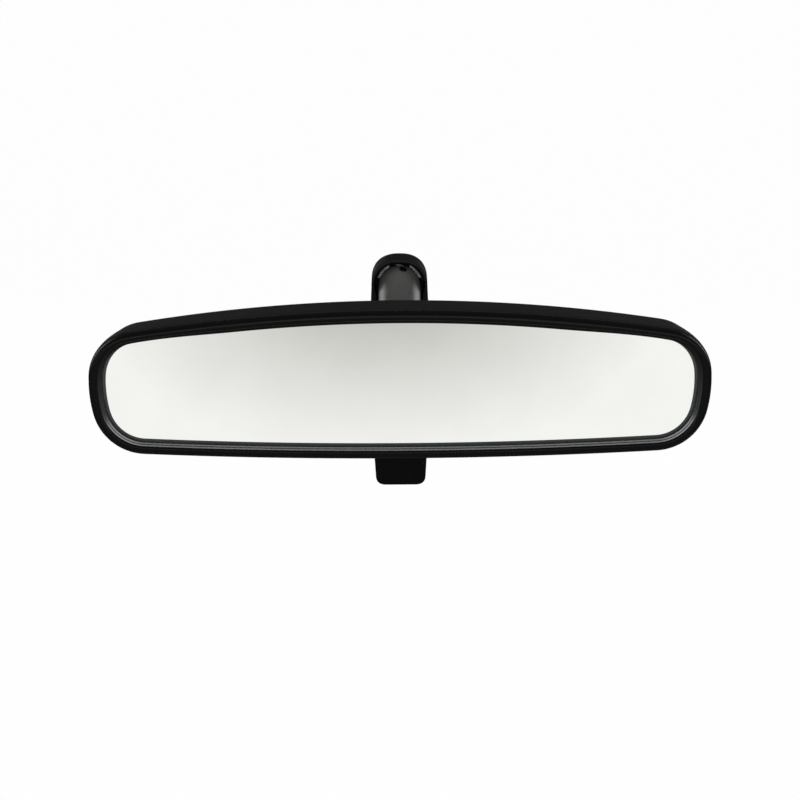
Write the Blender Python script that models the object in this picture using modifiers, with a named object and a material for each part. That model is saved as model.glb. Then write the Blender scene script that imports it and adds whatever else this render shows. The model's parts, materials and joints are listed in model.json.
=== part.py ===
"""Interior rearview mirror: day and night head, double ball arm and windshield foot.

Metres, +Z up. The origin is the centre of the button's bonding face, +Y points
out of that face to the windshield, and the mirror glass looks along -Y.
"""
import math

import bmesh
import bpy
from mathutils import Vector

# Clearances
CLEARANCE = 0.0003
BALL_CLEARANCE = 0.00025
SWING_CLEARANCE = 0.0006

# Head: outline of the bezel, seen from the front
FACE_WIDTH = 0.254
FACE_RISE = 0.029
FACE_FALL = 0.0321
UPPER_CORNER = 0.0191
UPPER_SIDE = 0.0475
UPPER_SWEEP = math.radians(3.3)
LOWER_CORNER = 0.0221
LOWER_SIDE = 0.053
LOWER_SWEEP = math.radians(13.9)

# Bezel
BEZEL_DEPTH = 0.005
BEAD_WIDTH = 0.0037
LIP_REACH = 0.0052
LIP_DEPTH = 0.00275
SKIRT_LENGTH = 0.0046

# Mirror glass, a wedge that is thick at the top
GLASS_OVERLAP = 0.00075
GLASS_TOP = 0.0055
GLASS_BOTTOM = 0.003
GLASS_BEVEL = 0.00245
GLASS_BEVEL_DEPTH = 0.0005
PAD_THICKNESS = 0.001
PAD_MARGIN = 0.004

# Rear case
CASE_DEPTH = 0.029
CASE_WALL = 0.0024
CASE_PROUD = 0.0005
CASE_ROUNDING = 0.0055
CASE_END_DRAFT = 0.0032
CASE_CROWN = 0.0005
OPENING_RADIUS = 0.010
COLLAR_RADIUS = 0.0145
COLLAR_PROUD = 0.0012

# Ball joints and arm
BALL_RADIUS = 0.00635
LINER_WALL = 0.00105
TUBE_WALL = 0.0011
BALL_SPACING = 0.044
ARM_SLOPE = math.radians(30.0)
TUBE_MOUTH = math.radians(50.0)
LINER_MOUTH = math.radians(54.0)
LINER_EDGE = math.radians(92.0)
SEAT_EDGE = math.radians(122.0)
SEAT_LENGTH = 0.0054
SPIGOT_RADIUS = 0.0039
SPIGOT_LENGTH = 0.002
SPRING_WIRE = 0.0018
SPRING_TURNS = 5
PEEP_RADIUS = 0.00165
PEEP_TURN = math.radians(10.7)
PEEP_LIFT = math.radians(2.0)
SHANK_RADIUS = 0.00275
FLANGE_RADIUS = 0.0044
FLANGE_THICKNESS = 0.0014
WASHER_THICKNESS = 0.001
WASHER_RIM = 0.0024
NUT_THICKNESS = 0.0028
NUT_ACROSS = 0.009
STUD_TAIL = 0.0006

# Windshield button and its dimples
BUTTON_WIDTH = 0.0204
BUTTON_LENGTH = 0.032
BUTTON_THICKNESS = 0.005
BUTTON_CROWN = 0.006
BUTTON_CORNER = 0.003
BUTTON_BEVEL = 0.0012
BUTTON_EDGE = 0.0008
DIMPLE_RADIUS = 0.0034
DIMPLE_DEPTH = 0.0031
DIMPLE_FLOOR = 0.001
DIMPLE_PITCH = 0.0044
DIMPLE_HEIGHT = 0.012

# Foot
FOOT_SETBACK = 0.0006
FOOT_WEB = 0.004
CHANNEL_WALL = 0.0019
HOOD_GAP = 0.0020
HOOD_WALL = 0.0011
HOOD_OVERHANG = 0.004
HOOD_FLARE = math.radians(2.5)
HOOD_FILLET = 0.0007
HOOD_FULLNESS = 2.15
HOOD_RIM_DROP = 0.004
BALL_TO_WEB = 0.0096
BALL_HEIGHT = 0.0085
BOSS_RADIUS = 0.0055
BOSS_HEIGHT = 0.0022
STUD_SEAT = 0.0032

# Clamp screw
SCREW_RADIUS = 0.00208
SCREW_HEAD_RADIUS = 0.00435
SCREW_HEAD = 0.0023
SCREW_POINT = 0.0017
SCREW_SOCKET = 0.0013

# Where the head sits on the lower ball
HEAD_REACH = 0.038
HEAD_DROP = 0.0037

# Pivot bracket
HINGE_HEIGHT = 0.0162
HINGE_DEPTH = 0.018
HINGE_PIN_RADIUS = 0.0015
BARREL_WALL = 0.0016
BARREL_LENGTH = 0.046
BRACKET_WIDTH = 0.040
BRACKET_PLATE = 0.0022
BRACKET_SETBACK = 0.002
BRACKET_BOTTOM = 0.011
SNOUT_RADIUS = 0.006
SNOUT_ROOT = 0.0078
NUT_SEAT = 0.0235
EAR_THICKNESS = 0.003
EAR_WALL = 0.0021

# Day and night lever
TILT = math.radians(4.0)
THROW = math.radians(36.0)
LEVER_DROP = 0.0243
LEVER_DEPTH = 0.017
LEVER_PIN_RADIUS = 0.00125
HUB_RADIUS = 0.004
HUB_LENGTH = 0.0226
CRANK_RADIUS = 0.0015
CRANK_WALL = 0.0011
FORK_WIDTH = 0.009
FORK_WALL = 0.0021
TAB_WIDTH = 0.0229
TAB_TAPER = 0.0012
TAB_REACH = 0.0264
TAB_THICKNESS = 0.003
TAB_CORNER = 0.0023
TAB_ROUNDING = 0.0007

# Detent leaf and its screw
LEAF_THICKNESS = 0.0005
LEAF_WIDTH = 0.0038
LEAF_TOP = 0.0125
LEAF_SCREW_RADIUS = 0.0009
LEAF_HEAD_RADIUS = 0.0018
LEAF_HEAD = 0.0011
LEAF_SCREW_LENGTH = 0.004
LEAF_BOSS_WALL = 0.0011

# Facets
TUBE_STEPS = 32
RING_STEPS = 24
SMALL_STEPS = 16
ARC_STEPS = 5
CORNER_STEPS = 6
SIDE_STEPS = 2

# Sizes that follow
LINER_IN = BALL_RADIUS + BALL_CLEARANCE
LINER_OUT = LINER_IN + LINER_WALL
TUBE_IN = LINER_OUT + BALL_CLEARANCE
TUBE_OUT = TUBE_IN + TUBE_WALL
HOOD_IN = TUBE_OUT + HOOD_GAP
HOOD_OUT = HOOD_IN + HOOD_WALL
FLANGE_AT = math.sqrt((TUBE_OUT + CLEARANCE) ** 2 - FLANGE_RADIUS ** 2)
SHOULDER_AT = FLANGE_AT + FLANGE_THICKNESS
CHANNEL_FLOOR = -(BUTTON_THICKNESS + CLEARANCE)
WEB_FRONT = CHANNEL_FLOOR - FOOT_WEB
FOOT_BACK = -FOOT_SETBACK
FOOT_BOTTOM = -BUTTON_LENGTH / 2 + 2 * FOOT_SETBACK
ARM_AXIS = Vector((0.0, math.cos(ARM_SLOPE), math.sin(ARM_SLOPE)))
UPPER_BALL = Vector((0.0, WEB_FRONT - BALL_TO_WEB, BALL_HEIGHT))
LOWER_BALL = UPPER_BALL - BALL_SPACING * ARM_AXIS
HEAD = LOWER_BALL - Vector((0.0, HEAD_REACH, HEAD_DROP))
UPPER_TURN = (ARM_SLOPE - math.pi / 2, 0.0, 0.0)
LOWER_TURN = (ARM_SLOPE + math.pi / 2, 0.0, 0.0)
HALF_FACE = FACE_WIDTH / 2
HINGE_AT = Vector((0.0, HINGE_DEPTH, HINGE_HEIGHT))
LEVER_AT = Vector((0.0, LEVER_DEPTH, -LEVER_DROP))
CRANK_REACH = ((HINGE_HEIGHT + LEVER_DROP) * math.tan(TILT)
               / (2 * math.sin(THROW / 2) + math.cos(THROW / 2) * math.tan(TILT)))
CRANK_AT = LEVER_AT + CRANK_REACH * Vector((0.0, -math.sin(THROW / 2), math.cos(THROW / 2)))
SCREW_HEIGHT = -BUTTON_LENGTH / 2 + DIMPLE_HEIGHT - DIMPLE_PITCH / 2
GLASS_INSET = LIP_REACH - GLASS_OVERLAP
GLASS_FRONT = LIP_DEPTH + CLEARANCE
SCREW_SEAT = WEB_FRONT - BOSS_HEIGHT - CLEARANCE
HUB_FLAT = HUB_RADIUS * math.cos(THROW / 2)
LEAF_AT = LEVER_DEPTH + HUB_FLAT + CLEARANCE
LEAF_X = (FORK_WIDTH + HUB_LENGTH) / 4 + CLEARANCE
LEAF_SCREW_Z = -(LEAF_TOP + LEAF_HEAD_RADIUS + CLEARANCE)


def clear_scene():
    """Remove every object that the file opens with."""
    for old in list(bpy.data.objects):
        bpy.data.objects.remove(old, do_unlink=True)


def collection(name):
    """A new collection in the scene."""
    made = bpy.data.collections.new(name)
    bpy.context.scene.collection.children.link(made)
    return made


def finish(name, colour, roughness, metallic=0.0):
    """A Principled material of one colour."""
    made = bpy.data.materials.new(name)
    made.use_nodes = True
    shader = made.node_tree.nodes["Principled BSDF"]
    shader.inputs["Base Color"].default_value = (*colour, 1.0)
    shader.inputs["Roughness"].default_value = roughness
    shader.inputs["Metallic"].default_value = metallic
    return made


clear_scene()
PARTS = collection("interior_rearview_mirror")
CUTTERS = collection("cutters")

GRAINED = finish("grained_black_plastic", (0.014, 0.014, 0.014), 0.6)
SATIN = finish("satin_black_plastic", (0.012, 0.012, 0.012), 0.4)
LEVER_BLACK = finish("deep_black_plastic", (0.004, 0.004, 0.004), 0.45)
GLOSS_PAINT = finish("gloss_black_paint", (0.012, 0.012, 0.012), 0.18)
CAST_PAINT = finish("satin_black_casting", (0.012, 0.012, 0.012), 0.35)
ZINC = finish("zinc_casting", (0.30, 0.30, 0.29), 0.5, 1.0)
STEEL = finish("bright_steel", (0.55, 0.55, 0.53), 0.3, 1.0)
NYLON = finish("natural_nylon", (0.62, 0.60, 0.53), 0.5)
GLASS = finish("silvered_glass", (0.86, 0.87, 0.86), 0.03, 1.0)
FOAM = finish("black_foam", (0.02, 0.02, 0.02), 0.9)


def empty(name, place, turn=(0.0, 0.0, 0.0)):
    """An empty that marks a joint's centre and carries the pieces there."""
    made = bpy.data.objects.new(name, None)
    made.location = place
    made.rotation_euler = turn
    PARTS.objects.link(made)
    return made


def place(mesh, name, material, parent=None, at=(0.0, 0.0, 0.0), turn=(0.0, 0.0, 0.0)):
    """A named piece of the object, carried by an empty."""
    made = bpy.data.objects.new(name, mesh)
    mesh.materials.append(material)
    made.parent = parent
    made.location = at
    made.rotation_euler = turn
    PARTS.objects.link(made)
    return made


def tool(mesh, parent=None, at=(0.0, 0.0, 0.0), turn=(0.0, 0.0, 0.0)):
    """A body that only cuts or joins another."""
    made = bpy.data.objects.new(mesh.name, mesh)
    made.parent = parent
    made.location = at
    made.rotation_euler = turn
    made.hide_render = True
    made.display_type = "WIRE"
    CUTTERS.objects.link(made)
    return made


def combine(piece, other, operation):
    """Cut another body out of a piece, or join it on."""
    step = piece.modifiers.new(operation.lower(), "BOOLEAN")
    step.object = other
    step.operation = operation
    step.solver = "EXACT"


def cut(piece, *others):
    """Cut each of the bodies out of the piece."""
    for other in others:
        combine(piece, other, "DIFFERENCE")


def join(piece, *others):
    """Join each of the bodies to the piece."""
    for other in others:
        combine(piece, other, "UNION")


def to_mesh(form, name):
    """A mesh from a bmesh, with its faces pointing out."""
    bmesh.ops.remove_doubles(form, verts=form.verts, dist=1e-7)
    bmesh.ops.recalc_face_normals(form, faces=form.faces)
    made = bpy.data.meshes.new(name)
    form.to_mesh(made)
    form.free()
    return made


def smooth(mesh):
    """Round pieces are shaded smooth, apart from their sharp edges."""
    mesh.shade_smooth()
    mesh.set_sharp_from_angle(angle=math.radians(35.0))


def arc(centre, radius, start, stop, steps=ARC_STEPS):
    """Points on an arc; angles run from the first axis to the second."""
    turn = (stop - start) / steps
    return [(centre[0] + radius * math.cos(start + turn * i),
             centre[1] + radius * math.sin(start + turn * i)) for i in range(steps + 1)]


def turned(profile, name, closed, steps=RING_STEPS):
    """A profile of (radius, height) points, turned about Z with a Screw modifier."""
    form = bmesh.new()
    points = [form.verts.new((radius, 0.0, height)) for radius, height in profile]
    for one, other in zip(points, points[1:]):
        form.edges.new((one, other))
    if closed:
        form.edges.new((points[-1], points[0]))
    line = bpy.data.meshes.new(name + "_profile")
    form.to_mesh(line)
    form.free()
    holder = bpy.data.objects.new(name + "_profile", line)
    CUTTERS.objects.link(holder)
    screw = holder.modifiers.new("turn", "SCREW")
    screw.axis = "Z"
    screw.steps = steps
    screw.render_steps = steps
    screw.use_merge_vertices = True
    screw.merge_threshold = 1e-6
    view = bpy.context.evaluated_depsgraph_get()
    made = bpy.data.meshes.new_from_object(holder.evaluated_get(view))
    made.name = name
    bpy.data.objects.remove(holder)
    smooth(made)
    return made


def rod(radius, low, high, name, steps=SMALL_STEPS):
    """A plain round bar on Z."""
    return turned([(0.0, high), (radius, high), (radius, low), (0.0, low)], name, False, steps)


def loft(rings, name):
    """A closed body through rings of equal count, capped at both ends."""
    form = bmesh.new()
    loops = [[form.verts.new(point) for point in ring] for ring in rings]
    for one, other in zip(loops, loops[1:]):
        for i in range(len(one)):
            form.faces.new((one[i - 1], one[i], other[i], other[i - 1]))
    form.faces.new(loops[0])
    form.faces.new(loops[-1])
    made = to_mesh(form, name)
    smooth(made)
    return made


def band(section, ring_at, name):
    """A closed section carried round a closed outline."""
    form = bmesh.new()
    loops = [[form.verts.new(point) for point in ring_at(*spot)] for spot in section]
    for one, other in zip(loops, loops[1:] + loops[:1]):
        for i in range(len(one)):
            form.faces.new((one[i - 1], one[i], other[i], other[i - 1]))
    made = to_mesh(form, name)
    smooth(made)
    return made


def slab(outline, low, high, plane, name):
    """An outline extruded along X (plane YZ) or along Y (plane XZ)."""
    form = bmesh.new()
    if plane == "YZ":
        points = [form.verts.new((low, a, b)) for a, b in outline]
        way = Vector((high - low, 0.0, 0.0))
    else:
        points = [form.verts.new((a, low, b)) for a, b in outline]
        way = Vector((0.0, high - low, 0.0))
    face = form.faces.new(points)
    grown = bmesh.ops.extrude_face_region(form, geom=[face])
    moved = [item for item in grown["geom"] if isinstance(item, bmesh.types.BMVert)]
    bmesh.ops.translate(form, verts=moved, vec=way)
    made = to_mesh(form, name)
    smooth(made)
    return made


def block(low, high, name):
    """A box between two corners."""
    form = bmesh.new()
    bmesh.ops.create_cube(form, size=1.0)
    low = Vector(low)
    high = Vector(high)
    bmesh.ops.scale(form, verts=form.verts, vec=high - low)
    bmesh.ops.translate(form, verts=form.verts, vec=(low + high) / 2)
    return to_mesh(form, name)


def soften(piece, width, segments=3):
    """Round the sharp edges of a piece."""
    step = piece.modifiers.new("rounding", "BEVEL")
    step.width = width
    step.segments = segments
    step.limit_method = "ANGLE"
    step.angle_limit = math.radians(40.0)


def face_quarter(height, corner, side, sweep, inset, flip):
    """A quarter of the mirror outline in three arcs that meet without a kink: crown, corner, side.

    The side's arc is centred at the widest level and the crown's arc on the middle line.
    An inset makes every arc smaller about its own centre.
    """
    x = HALF_FACE - side + (side - corner) * math.cos(sweep)
    z = (side - corner) * math.sin(sweep)
    radius = (x ** 2 + (height - z) ** 2 - corner ** 2) / (2 * (height - z - corner))
    reach = math.acos(x / (radius - corner))
    points = arc((0.0, height - radius), radius - inset, math.pi / 2, reach)
    points += arc((x, z), corner - inset, reach, sweep, CORNER_STEPS)[1:]
    points += arc((HALF_FACE - side, 0.0), side - inset, sweep, 0.0, SIDE_STEPS)[1:]
    return [(x, z * flip) for x, z in points]


def face_ring(inset, depth, end_inset=None, wedge=None):
    """The mirror outline moved in by an inset, at a depth behind the bezel's crest."""
    top = face_quarter(FACE_RISE, UPPER_CORNER, UPPER_SIDE, UPPER_SWEEP, inset, 1.0)
    bottom = face_quarter(FACE_FALL, LOWER_CORNER, LOWER_SIDE, LOWER_SWEEP, inset, -1.0)
    right = top + bottom[-2::-1]
    flat = right + [(-x, z) for x, z in right[-2:0:-1]]
    squeeze = 1.0
    if end_inset is not None:
        squeeze = (HALF_FACE - end_inset) / (HALF_FACE - inset)
    return [(x * squeeze, depth + (wedge(z) if wedge else 0.0), z) for x, z in flat]


def glass_thickness(height):
    """Thickness of the wedge at a height."""
    low = GLASS_INSET - FACE_FALL
    high = FACE_RISE - GLASS_INSET
    return GLASS_BOTTOM + (GLASS_TOP - GLASS_BOTTOM) * (height - low) / (high - low)


def make_bezel(hinge):
    """Rounded bead in front, two small ledges down to the glass, and a skirt behind."""
    ledge = (LIP_REACH - BEAD_WIDTH) / 2
    pocket = GLASS_INSET - CLEARANCE
    skirt = CASE_WALL - CASE_PROUD + CLEARANCE
    crest = BEAD_WIDTH / 2
    tail = BEZEL_DEPTH + SKIRT_LENGTH
    bead = arc((crest, crest), crest, math.pi, 1.5 * math.pi, 4)
    section = [(0.0, BEZEL_DEPTH)] + bead + [
        (BEAD_WIDTH - 0.1 * crest, 0.25 * crest),
        (BEAD_WIDTH, 0.4 * LIP_DEPTH),
        (BEAD_WIDTH + ledge, 0.55 * LIP_DEPTH),
        (BEAD_WIDTH + ledge, 0.75 * LIP_DEPTH),
        (LIP_REACH, 0.87 * LIP_DEPTH),
        (LIP_REACH, LIP_DEPTH),
        (pocket, LIP_DEPTH),
        (pocket, tail),
        (skirt, tail),
        (skirt, BEZEL_DEPTH),
    ]
    mesh = band(section, face_ring, "front_bezel")
    return place(mesh, "front_bezel", SATIN, hinge, -HINGE_AT)


def make_glass(hinge):
    """Wedge of mirror glass with a ground bevel round its front edge."""
    rings = [
        face_ring(GLASS_INSET + GLASS_BEVEL, GLASS_FRONT),
        face_ring(GLASS_INSET, GLASS_FRONT + GLASS_BEVEL_DEPTH),
        face_ring(GLASS_INSET, GLASS_FRONT, wedge=glass_thickness),
    ]
    place(loft(rings, "prism_glass"), "prism_glass", GLASS, hinge, -HINGE_AT)
    inset = GLASS_INSET + PAD_MARGIN
    front = GLASS_FRONT + CLEARANCE
    rings = [
        face_ring(inset, front, wedge=glass_thickness),
        face_ring(inset, front + PAD_THICKNESS, wedge=glass_thickness),
    ]
    place(loft(rings, "glass_pad"), "glass_pad", FOAM, hinge, -HINGE_AT)


def case_rings(wall):
    """Rings of the case skin from its front edge to its back, moved in by a wall."""
    start = BEZEL_DEPTH + CLEARANCE
    bend = CASE_DEPTH - CASE_ROUNDING
    rings = [face_ring(wall - CASE_PROUD, start + CASE_PROUD + CLEARANCE)]
    if wall:
        rings = [face_ring(wall - CASE_PROUD, start)]
    else:
        rings.insert(0, face_ring(CLEARANCE / 2, start))
    rings.append(face_ring(wall - CASE_PROUD, start + SKIRT_LENGTH + CLEARANCE))
    rounding = CASE_ROUNDING - wall
    for i in range(6):
        turn = math.pi / 2 * i / 5
        drop = 1.0 - math.cos(turn)
        rings.append(face_ring(
            wall - CASE_PROUD + rounding * drop,
            bend + rounding * math.sin(turn),
            wall - CASE_PROUD + CASE_END_DRAFT + 1.3 * rounding * drop,
        ))
    rings.append(face_ring(
        CASE_ROUNDING * 1.7,
        CASE_DEPTH - wall + CASE_CROWN,
        CASE_ROUNDING * 2.6,
    ))
    return rings


def ear(centre_y, centre_z, radius, root_y, root_z, side, name):
    """Lug with a round end about a pin, grown from a wall along Y or along Z."""
    if root_z is None:
        outline = arc((centre_y, centre_z), radius, 1.5 * math.pi, 0.5 * math.pi)
        outline += [(root_y, centre_z + radius), (root_y, centre_z - radius)]
    else:
        outline = arc((centre_y, centre_z), radius, 0.0, math.pi)
        outline += [(centre_y - radius, root_z), (centre_y + radius, root_z)]
    inner = side[0]
    outer = side[0] + math.copysign(EAR_THICKNESS, side[0])
    return slab(outline, min(inner, outer), max(inner, outer), "YZ", name)


def make_case(hinge):
    """Moulded shell with a raised collar for the stud and lugs for both pins."""
    rings = case_rings(CASE_WALL)[::-1] + case_rings(0.0)
    case = place(loft(rings, "rear_case"), "rear_case", GRAINED, hinge, -HINGE_AT)
    back = CASE_DEPTH + CASE_CROWN
    reach = (HEAD_REACH - back) / math.cos(ARM_SLOPE)
    middle = Vector((0.0, 0.0, HEAD_DROP - reach * math.sin(ARM_SLOPE))) - HINGE_AT
    ring = rod(COLLAR_RADIUS, CASE_DEPTH - CASE_WALL, back + COLLAR_PROUD, "collar", TUBE_STEPS)
    collar = tool(ring, hinge, middle, (-math.pi / 2, 0.0, 0.0))
    ball = Vector((0.0, HEAD_REACH, HEAD_DROP)) - HINGE_AT
    hole = tool(rod(OPENING_RADIUS, 0.0, reach + 4 * CASE_WALL, "stud_opening", TUBE_STEPS),
                hinge, ball, LOWER_TURN)
    below = FACE_FALL - LEVER_DROP + CASE_PROUD
    swing = below * math.tan(THROW / 2) + TAB_THICKNESS / math.cos(THROW / 2) / 2 + 2 * SWING_CLEARANCE
    wide = TAB_WIDTH / 2 + SWING_CLEARANCE
    gate = LEVER_DROP + LEVER_PIN_RADIUS
    slot = tool(block((-wide, LEVER_DEPTH - swing, -FACE_FALL - CASE_WALL),
                      (wide, LEVER_DEPTH + swing, -gate), "lever_slot"), hinge, -HINGE_AT)
    join(case, collar)
    cut(case, hole, slot)
    lug = HINGE_PIN_RADIUS + CLEARANCE + EAR_WALL
    lever_lug = LEVER_PIN_RADIUS + CLEARANCE + EAR_WALL
    for sign, side in ((-1.0, "left"), (1.0, "right")):
        at = sign * (BARREL_LENGTH / 2 + CLEARANCE)
        grown = ear(HINGE_DEPTH, HINGE_HEIGHT, lug, CASE_DEPTH - CASE_WALL / 2, None,
                    (at,), "hinge_ear_" + side)
        join(case, tool(grown, hinge, -HINGE_AT))
        at = sign * (HUB_LENGTH / 2 + CLEARANCE)
        grown = ear(LEVER_DEPTH, -LEVER_DROP, lever_lug, None, -FACE_FALL + CASE_WALL / 2,
                    (at,), "lever_ear_" + side)
        join(case, tool(grown, hinge, -HINGE_AT))
    boss = LEAF_SCREW_RADIUS + CLEARANCE + LEAF_BOSS_WALL
    post_front = LEAF_AT + LEAF_THICKNESS + CLEARANCE
    post = rod(boss, post_front, CASE_DEPTH - CASE_WALL / 2, "leaf_post")
    spot = Vector((LEAF_X, 0.0, LEAF_SCREW_Z)) - HINGE_AT
    join(case, tool(post, hinge, spot, (-math.pi / 2, 0.0, 0.0)))
    drill = rod(LEAF_SCREW_RADIUS + CLEARANCE, 0.0, post_front + LEAF_SCREW_LENGTH, "leaf_drill")
    cut(case, tool(drill, hinge, spot, (-math.pi / 2, 0.0, 0.0)))
    across = (0.0, math.pi / 2, 0.0)
    far = FACE_WIDTH / 6
    pin = rod(HINGE_PIN_RADIUS + CLEARANCE, -far, far, "hinge_bore")
    cut(case, tool(pin, hinge, (0.0, 0.0, 0.0), across))
    pin = rod(LEVER_PIN_RADIUS + CLEARANCE, -far, far, "lever_bore")
    cut(case, tool(pin, hinge, LEVER_AT - HINGE_AT, across))
    return case


def make_pins(hinge):
    """The two plain steel pins that the bracket and the lever turn on."""
    across = (0.0, math.pi / 2, 0.0)
    half = BARREL_LENGTH / 2 + EAR_THICKNESS
    place(rod(HINGE_PIN_RADIUS, -half, half, "bracket_hinge_pin"), "bracket_hinge_pin",
          STEEL, hinge, (0.0, 0.0, 0.0), across)
    half = HUB_LENGTH / 2 + EAR_THICKNESS
    place(rod(LEVER_PIN_RADIUS, -half, half, "lever_pin"), "lever_pin",
          STEEL, hinge, LEVER_AT - HINGE_AT, across)


def make_detent(hinge):
    """Leaf that lies on a flat of the lever's hub, and the screw that holds it."""
    half = LEAF_WIDTH / 2
    leaf = block((LEAF_X - half, LEAF_AT, -LEVER_DROP - HUB_RADIUS),
                 (LEAF_X + half, LEAF_AT + LEAF_THICKNESS, -LEAF_TOP), "detent_spring")
    leaf = place(leaf, "detent_spring", STEEL, hinge, -HINGE_AT)
    spot = Vector((LEAF_X, LEAF_AT, LEAF_SCREW_Z)) - HINGE_AT
    away = (math.pi / 2, 0.0, 0.0)
    hole = rod(LEAF_SCREW_RADIUS + CLEARANCE, -2 * LEAF_THICKNESS, LEAF_THICKNESS, "leaf_hole")
    cut(leaf, tool(hole, hinge, spot, away))
    neck = CLEARANCE
    profile = [(0.0, neck + LEAF_HEAD), (0.7 * LEAF_HEAD_RADIUS, neck + LEAF_HEAD),
               (LEAF_HEAD_RADIUS, neck + 0.4 * LEAF_HEAD), (LEAF_HEAD_RADIUS, neck),
               (LEAF_SCREW_RADIUS, neck), (LEAF_SCREW_RADIUS, neck - LEAF_SCREW_LENGTH),
               (0.0, neck - LEAF_SCREW_LENGTH)]
    place(turned(profile, "detent_screw", False, SMALL_STEPS), "detent_screw", STEEL,
          hinge, spot, away)


def make_bracket(ball):
    """Plate that hangs the case on its hinge, with a slanted snout for the stud and a fork."""
    home = HEAD - LOWER_BALL
    turn = ball.rotation_euler.to_matrix().inverted()
    here = turn @ home
    back_turn = (-ball.rotation_euler[0], 0.0, 0.0)
    half = BRACKET_WIDTH / 2
    front = HINGE_DEPTH + BRACKET_SETBACK
    plate = block((-half, front, -BRACKET_BOTTOM), (half, front + BRACKET_PLATE, HINGE_HEIGHT),
                  "pivot_bracket")
    bracket = place(plate, "pivot_bracket", CAST_PAINT, ball, here, back_turn)
    spot = tuple(turn @ (home + HINGE_AT))
    barrel = rod(HINGE_PIN_RADIUS + CLEARANCE + BARREL_WALL, -BARREL_LENGTH / 2, BARREL_LENGTH / 2, "barrel")
    across = (0.0, math.pi / 2, 0.0)
    join(bracket, tool(barrel, ball, spot, across))
    plate_at = (HEAD_REACH - front - BRACKET_PLATE / 2) / math.cos(ARM_SLOPE)
    low = SHOULDER_AT + CLEARANCE
    snout = turned([(0.0, NUT_SEAT), (SNOUT_ROOT, NUT_SEAT), (SNOUT_ROOT, plate_at),
                    (SNOUT_RADIUS, low), (0.0, low)], "snout", False)
    join(bracket, tool(snout, ball))
    y, z = CRANK_AT[1], CRANK_AT[2]
    gap = CRANK_RADIUS + SWING_CLEARANCE
    side = gap + FORK_WALL
    foot = z - CRANK_RADIUS
    rear = front + BRACKET_PLATE
    mid = front + BRACKET_PLATE / 2
    roof = z + gap + FORK_WALL / 2
    root = -BRACKET_BOTTOM + FORK_WALL
    outline = [(y - side, foot), (y - side, roof), (mid, roof + FORK_WALL), (mid, root), (rear, root),
               (rear, roof), (y + side, roof - FORK_WALL), (y + side, foot)]
    fork = slab(outline, -FORK_WIDTH / 2, FORK_WIDTH / 2, "YZ", "fork")
    join(bracket, tool(fork, ball, here, back_turn))
    slot = block((-FORK_WIDTH, y - gap, foot - side), (FORK_WIDTH, y + gap, z + gap), "fork_slot")
    bore = rod(HINGE_PIN_RADIUS + CLEARANCE, -BARREL_LENGTH, BARREL_LENGTH, "barrel_bore")
    drill = rod(SHANK_RADIUS + CLEARANCE, 0.0, NUT_SEAT + BALL_SPACING, "stud_drill")
    cut(bracket, tool(slot, ball, here, back_turn), tool(bore, ball, spot, across), tool(drill, ball))
    return bracket


def make_lever(pivot):
    """Tab below the case, two hubs on the pin, and a crank between them above it."""
    half_flat = THROW / 2
    crank = CRANK_RADIUS + CRANK_WALL
    lean = math.asin((HUB_RADIUS - crank) / CRANK_REACH)
    corners = (-2 * half_flat, 0.0, 2 * half_flat)
    flats = [(HUB_RADIUS * math.cos(turn), HUB_RADIUS * math.sin(turn)) for turn in corners]
    outline = arc((0.0, CRANK_REACH), crank, lean, math.pi - lean)
    outline += arc((0.0, 0.0), HUB_RADIUS, math.pi - lean, 2 * math.pi - 2 * half_flat, 2 * ARC_STEPS)[:-1]
    outline += flats
    outer = HUB_LENGTH / 2
    inner = FORK_WIDTH / 2 + SWING_CLEARANCE
    top = TAB_WIDTH / 2
    tip = top - TAB_TAPER
    corner = TAB_CORNER
    tab = [(-top, -HUB_RADIUS / 2), (-tip, -TAB_REACH + corner)]
    tab += arc((-tip + corner, -TAB_REACH + corner), corner, math.pi, 1.5 * math.pi)[1:]
    tab += arc((tip - corner, -TAB_REACH + corner), corner, 1.5 * math.pi, 2 * math.pi)
    tab += [(top, -HUB_RADIUS / 2)]
    thick = TAB_THICKNESS / 2
    lever = place(slab(tab, -thick, thick, "XZ", "day_night_lever"), "day_night_lever", LEVER_BLACK,
                  pivot, (0.0, 0.0, 0.0), (THROW / 2, 0.0, 0.0))
    soften(lever, TAB_ROUNDING, 2)
    lean_back = (THROW / 2, 0.0, 0.0)
    spot = (0.0, 0.0, 0.0)
    for low, high, side in ((-outer, -inner, "left"), (inner, outer, "right")):
        join(lever, tool(slab(outline, low, high, "YZ", "lever_hub_" + side), pivot, spot, lean_back))
    pin = rod(CRANK_RADIUS, -outer + FORK_WALL, outer - FORK_WALL, "crank_pin")
    up = Vector((0.0, -math.sin(half_flat), math.cos(half_flat))) * CRANK_REACH
    across = (0.0, math.pi / 2, 0.0)
    join(lever, tool(pin, pivot, up, across))
    bore = rod(LEVER_PIN_RADIUS + CLEARANCE, -TAB_WIDTH, TAB_WIDTH, "hub_bore")
    cut(lever, tool(bore, pivot, spot, across))
    return lever


def stud_mesh(tail, name):
    """Ball, neck, flange and shank; Z runs from the ball's centre along the shank."""
    neck = math.asin(SHANK_RADIUS / BALL_RADIUS)
    chamfer = SHANK_RADIUS / 5
    profile = [(0.0, tail), (SHANK_RADIUS - chamfer, tail), (SHANK_RADIUS, tail - chamfer),
               (SHANK_RADIUS, SHOULDER_AT), (FLANGE_RADIUS, SHOULDER_AT), (FLANGE_RADIUS, FLANGE_AT)]
    profile += arc((0.0, 0.0), BALL_RADIUS, math.pi / 2 - neck, -math.pi / 2, 2 * ARC_STEPS)
    profile.insert(6, (SHANK_RADIUS, FLANGE_AT))
    profile[-1] = (0.0, -BALL_RADIUS)
    return turned(profile, name, False)


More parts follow.
